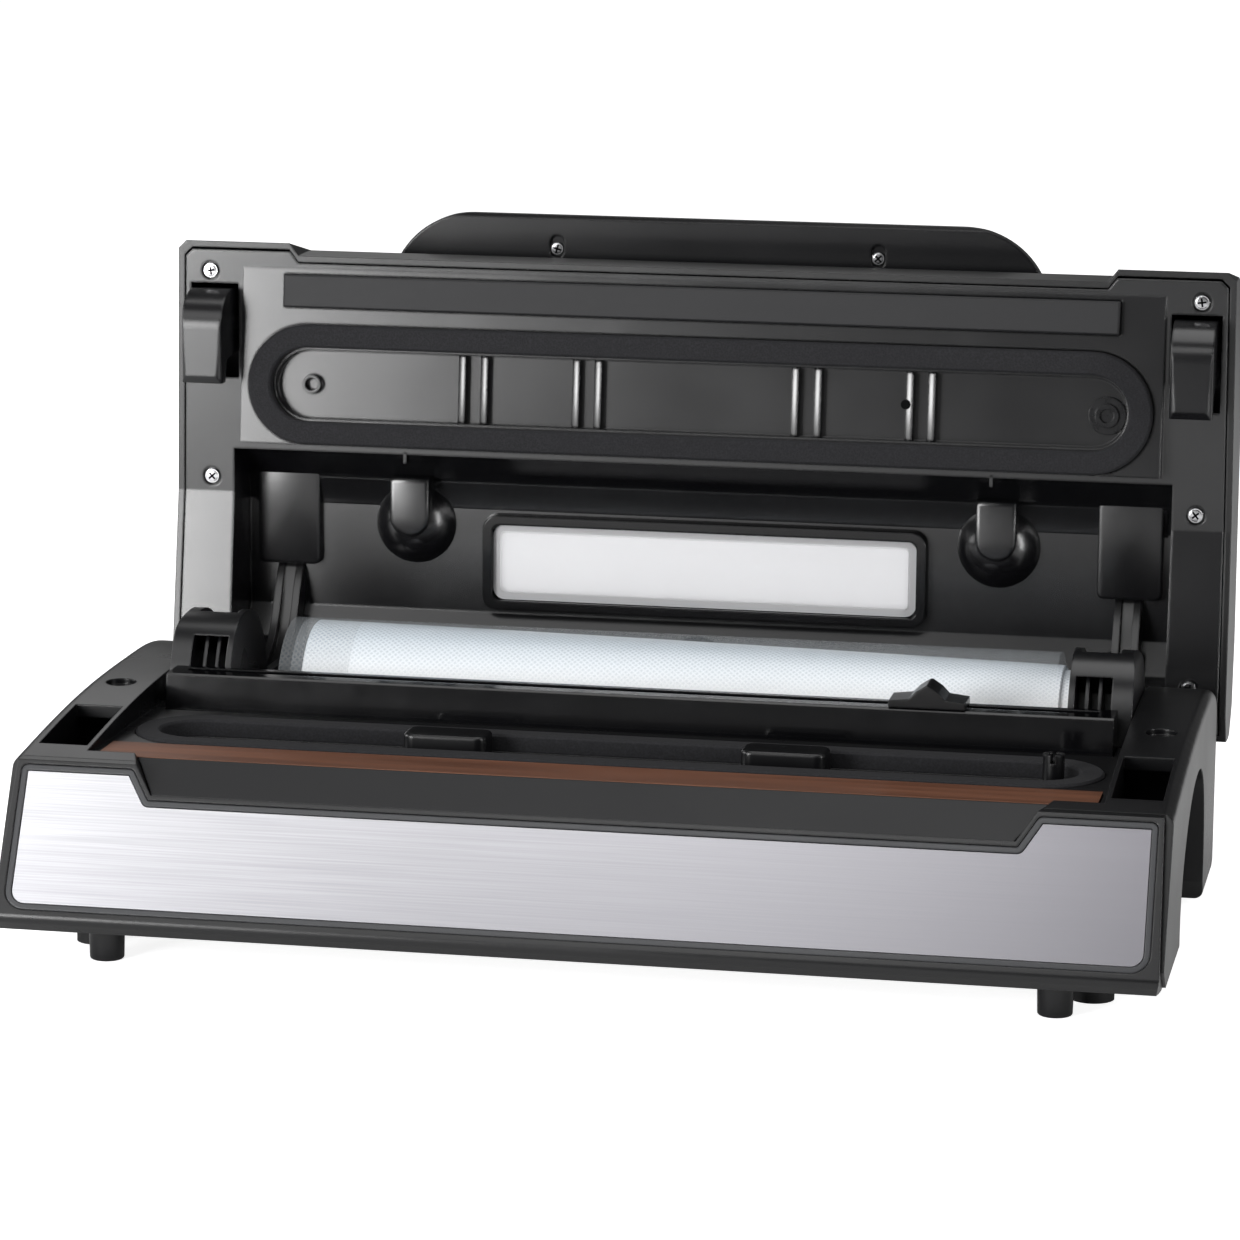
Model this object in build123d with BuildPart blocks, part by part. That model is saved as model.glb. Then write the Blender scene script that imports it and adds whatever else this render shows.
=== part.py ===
from build123d import *
from math import atan2, cos, radians, sin
import os

# Vacuum sealer with a hinged lid, a handle lock, built-in roll storage and a bag cutter.
# Millimetres. X runs to the right, Y to the back, Z up. The lid stands open.
# The origin is on the surface it stands on, at the centre of the box around it.

# --- overall ---
half_width = 199.5  # shoulders of the base
ground_gap = 12.0  # underside of the base in front
limb_bottom = 2.5  # underside of the rear corners
back_wall = 76.0  # rear face of the base
deck_z = 66.0  # flat deck between the shoulders
deck_half = 175.6  # deck half length
inner_half = 170.0  # hollow of the base, half length
wall = 3.0

# --- sloping front ---
front_lean = 27.4  # degrees the front face leans back
face_top = (-120.5, 62.9)  # upper edge of the metal panel, Y and Z
panel_half = 192.5
panel_height = 46.3
panel_recess = 1.6
trim_width = 2.3
bezel_depth = 4.0
step_half = 156.8
step_foot = 150.3
step_drop = 10.7

# --- lid, open ---
hinge_y = 61.0
hinge_z = 50.0
lid_swing = 95.5  # degrees from open to closed
rim_y = 97.0
lid_top = 221.0
lid_half = 200.0
lid_flare = 1.8  # the lid is this much wider at the hinge end
block_half = 174.7
cavity_half = 178.8
cavity_wall = 119.5

# --- sealing deck ---
tape_front = -105.8
tape_width = 22.0
tape_half = 173.0
ring_y = -59.5
ring_half = 171.6
ring_width = 46.0
ring_band = 9.0
ring_top = 67.0
nozzle_x = 153.5
nozzle_y = ring_y + 1
gland_x = 120.0
gland_z = 26.0

# --- cutter and roll ---
rail_half = 170.7
rail_front = -27.0
rail_depth = 17.0
rail_top = 79.0
slider_x = 105.0
slider_length = 27.0
roll_y = 32.0
roll_z = 62.5
roll_radius = 27.5
roll_left = -138.0
roll_length = 284.0
trough_radius = 28.4
trough_half = 151.5

# --- latch and handle ---
latch_y = 120.0
latch_z = 186.0
hook_x = 186.0
hook_width = 15.6
lock_swing = 16.0
pocket_front = -101.0
pocket_back = -57.5
pocket_floor = 49.5
pocket_x = (177.3, 194.6)
handle_half = 128.5
handle_y = 140.0
handle_top = 230.0

arm_x = 162.0
arm_width = 10.0
pin_radius = 4.0
pin_length = 25.0

os.makedirs("parts", exist_ok=True)
pieces = []


def keep(builder, name):
    builder.part.label = name
    pieces.append(name)
    export_step(builder.part, f"parts/{name}.step")


def face_point(along, depth=0.0):
    """Y and Z of a point on the sloping front, up the slope and behind it."""
    c, s = cos(radians(front_lean)), sin(radians(front_lean))
    return (face_top[0] + along * s + depth * c, face_top[1] + along * c - depth * s)


def closed(y, z):
    """Where a point of the open lid lies when the lid is shut."""
    c, s = cos(radians(lid_swing)), sin(radians(lid_swing))
    return (hinge_y + (y - hinge_y) * c - (z - hinge_z) * s, hinge_z + (y - hinge_y) * s + (z - hinge_z) * c)


def opened(y, z):
    """Where a point of the shut lid lies when the lid is open."""
    c, s = cos(radians(lid_swing)), -sin(radians(lid_swing))
    return (hinge_y + (y - hinge_y) * c - (z - hinge_z) * s, hinge_z + (y - hinge_y) * s + (z - hinge_z) * c)


slope = (0, -cos(radians(front_lean)), sin(radians(front_lean)))
front_plane = Plane(origin=(0, *face_top), x_dir=(1, 0, 0), z_dir=slope)
seal_tilt = radians(lid_swing - 90)
seal_normal = (0, -cos(seal_tilt), sin(seal_tilt))

# the lid's sealing face: level with the deck gasket when shut
face_shut_z = 70.2
seal_origin = opened(ring_y, face_shut_z)
seal_plane = Plane(origin=(0, *seal_origin), x_dir=(1, 0, 0), z_dir=seal_normal)

# the dark lip slopes from the sealing strip down to the bezel
lip_half = 153.0
lip_thick = 2.0
lip_back = (tape_front - 0.4, 66.2)
lip_front = face_point(-6.5)
lip_fall = atan2(lip_back[1] - lip_front[1], lip_back[0] - lip_front[0])
lip_seat_back = (lip_back[0] + lip_thick * sin(lip_fall), lip_back[1] - lip_thick * cos(lip_fall))


def lip_seat_z(y):
    """Height of the surface that carries the lip."""
    return lip_seat_back[1] + (y - lip_seat_back[0]) * sin(lip_fall) / cos(lip_fall)


lip_rise = sin(lip_fall) / cos(lip_fall)
bezel_back = face_point(0, bezel_depth)
lean_sin, lean_cos = sin(radians(front_lean)), cos(radians(front_lean))
lip_corner_along = (lip_seat_z(bezel_back[0]) - bezel_back[1]) / (lean_cos - lip_rise * lean_sin)
lip_corner = face_point(lip_corner_along, bezel_depth)

lip_foot = 147.6
lip_flare = (step_half - step_foot) / step_drop
with BuildPart() as lip_seat:
    with BuildSketch(Plane.YZ):
        Polygon(lip_seat_back, (lip_seat_back[0], 90), (-150, 90), (-150, lip_seat_z(-150)), align=None)
    extrude(amount=lip_half + 10, both=True)
    with BuildSketch(front_plane):
        low, high = lip_foot + 0.5, lip_foot + 0.5 + 40 * lip_flare
        Polygon((-low, -6.5), (-high, 33.5), (high, 33.5), (low, -6.5), align=None)
    extrude(amount=60, both=True, mode=Mode.INTERSECT)

# ---------------------------------------------------------------- base housing
shoulder = [(-100, 68.4), (-58, 73.0), (-15, 75.6), (20, 76.2), (48, 75.4), (66, 71.5)]
housing_front_top = face_point(6.3, bezel_depth)
housing_front_foot = face_point(-47.0, bezel_depth)

with BuildPart() as base_housing:
    with BuildSketch(Plane.YZ):
        with BuildLine():
            crown = Spline(housing_front_top, *shoulder)
            tail = Line((back_wall, 58), (back_wall, 9))
            Spline(crown @ 1, tail @ 0, tangents=[crown % 1, tail % 0])
            foot = Line((back_wall - 7, limb_bottom), (30, limb_bottom))
            TangentArc(tail @ 1, foot @ 0, tangent=tail % 1)
            Polyline(foot @ 1, (24, ground_gap), (-130, ground_gap), housing_front_foot, crown @ 0)
        make_face()
    extrude(amount=half_width, both=True)
    ridge = base_housing.edges().filter_by_position(Axis.Z, 60, 90).sort_by(Axis.X)
    fillet([ridge[0], ridge[-1]], 3.5)
    # deck between the shoulders, trough for the roll and the low rear wall
    with BuildSketch(Plane.YZ):
        with Locations((-106, deck_z)):
            Rectangle(106 + back_wall + 1, 40, align=(Align.MIN, Align.MIN))
    extrude(amount=deck_half, both=True, mode=Mode.SUBTRACT)
    with BuildSketch(Plane.YZ):
        with Locations((roll_y, roll_z)):
            Circle(trough_radius)
        with Locations((roll_y, roll_z)):
            Rectangle(2 * trough_radius, 30, align=(Align.CENTER, Align.MIN))
    extrude(amount=trough_half, both=True, mode=Mode.SUBTRACT)
    # sloping seat of the dark lip in front of the sealing strip
    add(lip_seat.part, mode=Mode.SUBTRACT)
    # seat of the sealing element
    with Locations((0, tape_front + tape_width / 2, deck_z)):
        Box(2 * tape_half + 1, tape_width - 4, 16, mode=Mode.SUBTRACT)
    # gasket groove and the chamber inside it
    with BuildSketch(Plane.XY.offset(deck_z)):
        with Locations((0, ring_y)):
            SlotOverall(2 * ring_half, ring_width)
    extrude(amount=-5, mode=Mode.SUBTRACT)
    with BuildSketch(Plane.XY.offset(deck_z)):
        with Locations((0, ring_y)):
            SlotOverall(2 * (ring_half - ring_band) - 1, ring_width - 2 * ring_band - 1)
    extrude(amount=-9, mode=Mode.SUBTRACT)
    # seat of the cutter rail
    with Locations((0, rail_front + rail_depth / 2, deck_z)):
        Box(2 * rail_half + 1, rail_depth + 0.6, 8, mode=Mode.SUBTRACT)
    # latch pockets, undercut at the back for the hook noses
    for side in (-1, 1):
        middle = side * sum(pocket_x) / 2
        width = pocket_x[1] - pocket_x[0]
        with BuildSketch(Plane.YZ.offset(middle)):
            Polygon(
                (pocket_front, 90),
                (pocket_front, pocket_floor),
                (pocket_back, pocket_floor),
                (pocket_back + 11, pocket_floor + 4),
                (pocket_back + 11, 69.0),
                (pocket_back, 68.4),
                (pocket_back, 90),
                align=None,
            )
        extrude(amount=width / 2, both=True, mode=Mode.SUBTRACT)
        # shallow dimple in the shoulder
        with BuildSketch(Plane.XY.offset(73.2)):
            with Locations((side * 187.3, -26.6)):
                Circle(5.5)
        extrude(amount=8, mode=Mode.SUBTRACT)
        # arched recess in the side, open below
        with BuildSketch(Plane.YZ.offset(side * half_width)):
            with BuildLine():
                arch = Spline((-74, 8), (-71, 32), (-55, 47), (-20, 58.5), (14, 50), (24, 30), (25, 8))
                Line(arch @ 1, arch @ 0)
            make_face()
        extrude(amount=-side * 23.5, mode=Mode.SUBTRACT)
        # slot for the lid arm and seat of the roll bracket
        with Locations((side * arm_x, 62, 61)):
            Box(arm_width + 4, 60, 42, mode=Mode.SUBTRACT)
        with Locations((side * (trough_half + 12.1), 18, deck_z)):
            Box(24.2, 62, 10, mode=Mode.SUBTRACT)
        with BuildSketch(Plane.YZ.offset(side * (arm_x - pin_length / 2))):
            with Locations((hinge_y, hinge_z)):
                Circle(pin_radius)
        extrude(amount=side * pin_length, mode=Mode.SUBTRACT)
    # air passage under the nozzle and the hole for the mains lead
    with Locations((nozzle_x, nozzle_y, 55)):
        Cylinder(3, 8, mode=Mode.SUBTRACT)
    with BuildSketch(Plane.XZ.offset(-back_wall)):
        with Locations((gland_x, gland_z)):
            Circle(5)
    extrude(amount=wall + 2, both=True, mode=Mode.SUBTRACT)
    # hollow underside, keeping the trough wall
    with BuildSketch(Plane.YZ) as hollow:
        Polygon((-126, 0), (-134.5, 20), (-115.5, 54), (back_wall - wall, 54), (back_wall - wall, 0), align=None)
        with Locations((roll_y, roll_z)):
            Circle(trough_radius + wall, mode=Mode.SUBTRACT)
        with Locations((hinge_y, hinge_z)):
            Rectangle(30, 22, mode=Mode.SUBTRACT)
    extrude(amount=inner_half, both=True, mode=Mode.SUBTRACT)
keep(base_housing, "base_housing")

# ---------------------------------------------------------------- bottom cover
screw_spots = [(x, y) for x in (-150, 0, 150) for y in (-112, -14)]
cover_back = back_wall - wall - 0.4

with BuildPart() as bottom_cover:
    with BuildSketch(Plane.XY.offset(ground_gap)):
        with Locations((0, (cover_back - 125.5) / 2)):
            RectangleRounded(2 * inner_half - 0.8, cover_back + 125.5, 3)
        with GridLocations(9, 0, 12, 1):
            with Locations((-60, -70)):
                SlotOverall(40, 3.2, rotation=90, mode=Mode.SUBTRACT)
        with Locations(*screw_spots):
            Circle(1.6, mode=Mode.SUBTRACT)
    extrude(amount=2.4)
keep(bottom_cover, "bottom_cover")

with BuildPart() as bottom_screws:
    with BuildSketch(Plane.XY.offset(ground_gap - 1.6)):
        with Locations(*screw_spots):
            Circle(3.2)
    extrude(amount=1.6)
    with BuildSketch(Plane.XY.offset(ground_gap)):
        with Locations(*screw_spots):
            Circle(1.5)
    extrude(amount=12)
keep(bottom_screws, "bottom_screws")

# ---------------------------------------------------------------- feet
leg_x = 163.0
leg_y = -127.0
with BuildPart() as front_legs:
    with BuildSketch():
        with Locations((-leg_x, leg_y), (leg_x, leg_y)):
            Circle(5.9)
    extrude(amount=ground_gap, taper=-1.5)
    fillet(front_legs.faces().sort_by(Axis.Z)[:2].edges(), 0.8)
keep(front_legs, "front_legs")

with BuildPart() as rubber_feet:
    with BuildSketch():
        with Locations((-173, -104), (173, -104)):
            Circle(7.5)
    extrude(amount=ground_gap)
    with BuildSketch():
        with Locations((-186, 50), (186, 50)):
            Circle(8)
    extrude(amount=limb_bottom)
keep(rubber_feet, "rubber_feet")

# ---------------------------------------------------------------- front
bezel_side = 196.4


def panel_outline(plane, spread):
    """Outline of the metal panel on a plane beside the front, grown all round."""
    with BuildSketch(plane) as outline:
        Polygon(
            (-panel_half, 0),
            (-step_half, 0),
            (-step_foot, -step_drop),
            (step_foot, -step_drop),
            (step_half, 0),
            (panel_half, 0),
            (panel_half + 0.2, -panel_height),
            (-panel_half - 0.2, -panel_height),
            align=None,
        )
        fillet(outline.vertices().sort_by(Axis.Y)[:2], 4.5)
        fillet(outline.vertices().filter_by_position(Axis.Y, -step_drop - 1, -step_drop + 1), 3)
        if spread:
            offset(amount=spread, kind=Kind.ARC)
    return outline.sketch


panel_floor = front_plane.offset(-panel_recess)

with BuildPart() as front_bezel:
    with BuildSketch(Plane.YZ):
        Polygon(
            face_point(4.0),
            housing_front_top,
            housing_front_foot,
            (-130, ground_gap),
            (-141, ground_gap),
            face_point(-52.5),
            align=None,
        )
    extrude(amount=half_width, both=True)
    fillet(front_bezel.edges().filter_by(Axis.X).sort_by(Axis.Y)[0], 3)
    with BuildSketch(front_plane) as outline:
        Polygon((-bezel_side, 10), (bezel_side, 10), (198.8, -60), (-198.8, -60), align=None)
        fillet(outline.vertices().sort_by(Axis.Y)[:2], 10)
    extrude(amount=40, both=True, mode=Mode.INTERSECT)
    # the lip runs through the middle of the upper edge
    with BuildSketch(front_plane):
        Polygon((-low, -6.5), (-high, 33.5), (high, 33.5), (low, -6.5), align=None)
    extrude(amount=12, both=True, mode=Mode.SUBTRACT)
    extrude(panel_outline(panel_floor, trim_width + 0.2), amount=4, mode=Mode.SUBTRACT)
keep(front_bezel, "front_bezel")

with BuildPart() as panel_trim:
    extrude(panel_outline(panel_floor, trim_width), amount=1.3)
    extrude(panel_outline(panel_floor, 0.3), amount=1.3, mode=Mode.SUBTRACT)
keep(panel_trim, "panel_trim")

with BuildPart() as front_panel:
    extrude(panel_outline(panel_floor, 0), amount=1.0)
keep(front_panel, "front_panel")

with BuildPart() as front_lip:
    with BuildSketch(Plane.YZ):
        Polygon(lip_back, lip_front, face_point(-6.5, bezel_depth), lip_corner, lip_seat_back, align=None)
    extrude(amount=lip_half + 10, both=True)
    with BuildSketch(front_plane):
        Polygon((0.5 - low, -6.5), (0.5 - high, 33.5), (high - 0.5, 33.5), (low - 0.5, -6.5), align=None)
    extrude(amount=60, both=True, mode=Mode.INTERSECT)
keep(front_lip, "front_lip")

# ---------------------------------------------------------------- sealing deck
tape_y = tape_front + tape_width / 2
with BuildPart() as element_carrier:
    with Locations((0, tape_y, deck_z - 4)):
        Box(2 * tape_half, tape_width - 4.6, 7.6, align=(Align.CENTER, Align.CENTER, Align.CENTER))
keep(element_carrier, "element_carrier")

with BuildPart() as heating_ribbon:
    with Locations((0, tape_y, deck_z - 0.1)):
        Box(2 * tape_half - 6, 3, 0.2)
keep(heating_ribbon, "heating_ribbon")

with BuildPart() as sealing_tape:
    with Locations((0, tape_y, deck_z)):
        Box(2 * tape_half, tape_width, 0.35, align=(Align.CENTER, Align.CENTER, Align.MIN))
keep(sealing_tape, "sealing_tape")


def gasket_ring(plane, height, inset=0.3):
    """Foam ring with straight sides and round ends, standing on a plane."""
    with BuildPart() as ring:
        with BuildSketch(plane):
            SlotOverall(2 * (ring_half - inset), ring_width - 2 * inset)
            SlotOverall(2 * (ring_half - ring_band), ring_width - 2 * ring_band, mode=Mode.SUBTRACT)
        extrude(amount=height)
        top = ring.faces().sort_by(Axis(plane.origin, plane.z_dir))[-1]
        chamfer(top.edges(), 0.8)
    return ring


deck_gasket = gasket_ring(Plane((0, ring_y, deck_z - 5)), ring_top - deck_z + 5)
keep(deck_gasket, "deck_gasket")

with BuildPart() as vacuum_nozzle:
    with BuildSketch(Plane.XY.offset(deck_z - 9)):
        with Locations((nozzle_x, nozzle_y)):
            Circle(5.5)
    extrude(amount=1.5)
    with BuildSketch(Plane.XY.offset(deck_z - 7.5)):
        with Locations((nozzle_x, nozzle_y)):
            Circle(3.75)
            Circle(2.0, mode=Mode.SUBTRACT)
    extrude(amount=14.5)
    with Locations((nozzle_x, nozzle_y, deck_z + 6)):
        Box(9, 1.4, 4, mode=Mode.SUBTRACT)
        Box(1.4, 9, 4, mode=Mode.SUBTRACT)
keep(vacuum_nozzle, "vacuum_nozzle")

with BuildPart() as bag_stops:
    for side in (-1, 1):
        with BuildSketch(Plane.XY.offset(deck_z - 9)):
            with Locations((side * 60, ring_y + 5.5)):
                RectangleRounded(30, 15, 4)
        extrude(amount=12)
    fillet(bag_stops.faces().sort_by(Axis.Z)[-2:].edges(), 1.2)
keep(bag_stops, "bag_stops")

# ---------------------------------------------------------------- cutter
track_y = rail_front + 10.5
track_width = 5.0
track_depth = 5.0
with BuildPart() as cutter_rail:
    with BuildSketch(Plane.YZ):
        Polygon(
            (rail_front, deck_z - 4),
            (rail_front + 1.6, rail_top - 0.6),
            (rail_front + 2.4, rail_top),
            (rail_front + rail_depth - 1, rail_top),
            (rail_front + rail_depth, rail_top - 1),
            (rail_front + rail_depth, deck_z - 4),
            align=None,
        )
    extrude(amount=rail_half, both=True)
    with Locations((0, track_y, rail_top)):
        Box(2 * rail_half - 12, track_width, 2 * track_depth, mode=Mode.SUBTRACT)
keep(cutter_rail, "cutter_rail")

slider_gap = 0.25
with BuildPart() as cutter_slider:
    with BuildSketch(Plane.XZ.offset(-(rail_front + 2))):
        with BuildLine():
            Polyline(
                (-slider_length / 2, rail_top + slider_gap),
                (-slider_length / 2, rail_top + 2.6),
                (-6.5, rail_top + 3.4),
                (-4, rail_top + 6),
                (0, rail_top + 8.6),
                (4, rail_top + 6),
                (6.5, rail_top + 3.4),
                (slider_length / 2, rail_top + 2.6),
                (slider_length / 2, rail_top + slider_gap),
                close=True,
            )
        make_face()
    extrude(amount=-14)
    fillet(cutter_slider.edges().filter_by(Axis.Y).sort_by(Axis.Z)[-1], 1.4)
    for x in (-8.5, 8.5):
        with Locations((x, track_y, rail_top + slider_gap)):
            Box(7, track_width - 0.5, track_depth, align=(Align.CENTER, Align.CENTER, Align.MAX))
cutter_slider.part = Pos(slider_x, 0, 0) * cutter_slider.part
keep(cutter_slider, "cutter_slider")

with BuildPart() as cutter_blade:
    with BuildSketch(Plane.XZ.offset(-track_y)):
        Polygon((-4.5, 0), (4.5, 0), (0.6, -4.2), (-0.6, -4.2), align=None)
    extrude(amount=0.25, both=True)
cutter_blade.part = Pos(slider_x, 0, rail_top + slider_gap) * cutter_blade.part
keep(cutter_blade, "cutter_blade")

# ---------------------------------------------------------------- bag roll
with BuildPart() as bag_roll:
    with BuildSketch(Plane.XY) as wraps:
        Polygon(
            (roll_left, 9),
            (roll_left, roll_radius - 1.2),
            (roll_left + 1.2, roll_radius),
            (roll_left + roll_length - 1.2, roll_radius),
            (roll_left + roll_length, roll_radius - 1.2),
            (roll_left + roll_length, roll_radius - 2.4),
            (roll_left + roll_length + 4.3, roll_radius - 3),
            (roll_left + roll_length + 4.3, 9),
            align=None,
        )
    revolve(axis=Axis.X)
bag_roll.part = Pos(0, roll_y, roll_z) * bag_roll.part
keep(bag_roll, "bag_roll")

# ---------------------------------------------------------------- roll brackets and hinge pins
bracket_in = trough_half + 0.9
bracket_out = deck_half - 0.4
bracket_foot = deck_z - 5
hood_window = 13.0


def hood_face(plane, shift):
    """Side view of a bracket's hood, moved back by a shift."""
    with BuildSketch(plane) as face:
        with BuildLine():
            hood = Spline(
                (shift - 9, bracket_foot),
                (shift - 5, 78),
                (shift + 5, 91.5),
                (shift + 17, 94.6),
                (shift + 33, 90),
                (shift + 43, 78),
                (shift + 46, bracket_foot),
            )
            Line(hood @ 1, hood @ 0)
        make_face()
    return face.sketch


for side, name in ((-1, "roll_bracket_left"), (1, "roll_bracket_right")):
    with BuildPart() as roll_bracket:
        extrude(hood_face(Plane.YZ.offset(side * bracket_in), 0), amount=side * (bracket_out - bracket_in))
        # rounded outer shoulder
        with BuildSketch(Plane.XZ) as shoulder_outline:
            with Locations((side * (bracket_in + bracket_out) / 2, 78)):
                Rectangle(bracket_out - bracket_in, 40)
            corners = shoulder_outline.vertices().sort_by(Axis.Y)[-2:].sort_by(Axis.X)
            fillet(corners[0 if side < 0 else -1], 9)
        extrude(amount=80, both=True, mode=Mode.INTERSECT)
        # inner slot that the lid arm swings through
        with BuildSketch(Plane.YZ.offset(side * arm_x)):
            Polygon((14, 50), (14, 100), (50, 100), (50, 50), align=None)
        extrude(amount=(arm_width + 4) / 2, both=True, mode=Mode.SUBTRACT)
        # open front of the hood
        with BuildSketch(Plane.YZ.offset(side * (bracket_in + 2.2))):
            Polygon((-20, 66), (-20, 88), (4, 88), (9, 86.5), (12, 80), (7, 66), align=None)
        extrude(amount=side * hood_window, mode=Mode.SUBTRACT)
        # curved ribs inside the opening, set back from its edge
        for gap in (3.4, 8.0):
            with BuildPart(mode=Mode.PRIVATE) as rib:
                extrude(hood_face(Plane.YZ.offset(side * (bracket_in + 2.2 + gap)), 3.6), amount=side * 1.3)
                with BuildSketch(Plane.YZ):
                    Polygon((-20, 65), (-20, 89), (13, 89), (13, 65), align=None)
                extrude(amount=200, both=True, mode=Mode.INTERSECT)
            add(rib.part)
    keep(roll_bracket, name)

with BuildPart() as hinge_pins:
    for side in (-1, 1):
        with BuildSketch(Plane.YZ.offset(side * (arm_x - pin_length / 2))):
            with Locations((hinge_y, hinge_z)):
                Circle(pin_radius)
        extrude(amount=side * pin_length)
keep(hinge_pins, "hinge_pins")

# ---------------------------------------------------------------- lid, standing open
shell_wall = 2.5
notch_half = 155.3
notch_depth = 4.7
lid_profile = [
    (rim_y, lid_top),
    (127, 213.5),
    (134.5, 199),
    (137.5, 184),
    (127.5, 78),
    (120, 55),
    (108, 45),
    (92, 47),
    (88, 57),
    (90.5, 75),
    (rim_y, 125),
]


def lid_outline(inset, height, foot):
    """Front outline of the lid, wider at the hinge end, with a lowered middle along the top."""
    top, low = lid_half - inset, lid_half + lid_flare - inset
    with BuildSketch(Plane.XZ) as outline:
        Polygon((-top, height), (top, height), (low, foot), (-low, foot), align=None)
        chamfer(outline.vertices().sort_by(Axis.Y)[-2:], 3.0)
        fillet(outline.vertices().sort_by(Axis.Y)[:2], 7.0)
        Polygon(
            (-notch_half - 2.2, height + 1),
            (-notch_half + 2.2, height - notch_depth),
            (notch_half - 2.2, height - notch_depth),
            (notch_half + 2.2, height + 1),
            align=None,
            mode=Mode.SUBTRACT,
        )
    return outline.sketch


with BuildPart() as lid_void:
    with BuildSketch(Plane.YZ):
        Polygon(
            (60, lid_top - 2.4),
            (rim_y, lid_top - 2.4),
            (125, 211.2),
            (131.6, 199),
            (134.8, 184),
            (125, 79),
            (117.5, 57),
            (106.5, 47.6),
            (95, 49.6),
            (60, 49.6),
            align=None,
        )
    extrude(amount=lid_half + 5, both=True)
    extrude(lid_outline(2.4, lid_top - 2.4, 40), amount=-200, both=True, mode=Mode.INTERSECT)

window_half = 86.0
window_z = (79.5, 117.0)
liner_wall = 2.6
lid_screw_x = 187.6
lid_screw_z = (67.0, 130.7, 209.7)


def lid_back_y(z):
    """Inside of the lid's outer wall above or below the bend."""
    if z > 184:
        return 134.8 - (z - 184) * 3.2 / 15 if z < 199 else 131.6 - (z - 199) * 6.6 / 12.2
    return 125 + (z - 79) * 9.8 / 105 if z > 79 else 125 - (79 - z) * 7.5 / 22


def screw_seat_y(z):
    """Front of the liner flange beside the cavity."""
    return rim_y if z > 125 else rim_y - (125 - z) * 6.5 / 50


outer_rise = atan2(137.5 - 127.5, 184 - 78)
control_z = 158.0
control_plane = Plane(
    origin=(0, 127.5 + (control_z - 78) * 10 / 106, control_z),
    x_dir=(-1, 0, 0),
    z_dir=(0, cos(outer_rise), -sin(outer_rise)),
)
control_length = 156.0
control_height = 24.0
button_names = ("vacuum_button", "seal_button", "pulse_button", "mode_button", "stop_button")
button_pitch = 30.0
button_length = 20.0
button_height = 10.0
button_travel = 0.8

with BuildPart() as lid_shell:
    with BuildSketch(Plane.YZ):
        Polygon(*lid_profile, align=None)
    extrude(amount=lid_half + 5, both=True)
    extrude(lid_outline(0, lid_top, 40), amount=-200, both=True, mode=Mode.INTERSECT)
    rear = lid_shell.edges().filter_by(Axis.X).group_by(Axis.Y)[-1]
    fillet(rear, 6)
    add(lid_void.part, mode=Mode.SUBTRACT)
    # window through the back
    with BuildSketch(Plane.XZ):
        with Locations((0, sum(window_z) / 2)):
            RectangleRounded(2 * window_half - 10, window_z[1] - window_z[0] - 10, 3)
    extrude(amount=-200, mode=Mode.SUBTRACT)
    # the handle arms and the lid arms pass through slots
    for side in (-1, 1):
        with Locations((side * 62, 136, 196)):
            Box(18, 24, 30, mode=Mode.SUBTRACT)
        with Locations((side * arm_x, 98, 50)):
            Box(arm_width + 4, 36, 36, mode=Mode.SUBTRACT)
        # screw posts behind the liner
        for z in lid_screw_z:
            with BuildSketch(Plane.XZ.offset(-screw_seat_y(z) - liner_wall - 0.8)):
                with Locations((side * lid_screw_x, z)):
                    Circle(3.8)
            extrude(amount=screw_seat_y(z) + liner_wall + 1.3 - lid_back_y(z))
            with BuildSketch(Plane.XZ.offset(-screw_seat_y(z) - liner_wall - 0.8)):
                with Locations((side * lid_screw_x, z)):
                    Circle(1.4)
            extrude(amount=-11, mode=Mode.SUBTRACT)
    # seat of the control strip and the holes of its buttons
    with BuildSketch(control_plane):
        RectangleRounded(control_length + 0.6, control_height + 0.6, 6)
    extrude(amount=-1.2, mode=Mode.SUBTRACT)
    with BuildSketch(control_plane):
        with GridLocations(button_pitch, 0, len(button_names), 1):
            RectangleRounded(button_length + 0.8, button_height + 0.8, 3)
    extrude(amount=-8, mode=Mode.SUBTRACT)
keep(lid_shell, "lid_shell")

# ---------------------------------------------------------------- lid liner
tray_depth = 6.0
strip_y = ring_y - tape_y  # across the sealing face, from the middle of the gasket
strip_width = 12.3
strip_half = 158.0
rib_spots = [-89.4, -80.9, -45.6, -37.2, 37.6, 46.2, 80.7, 88.9]

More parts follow.
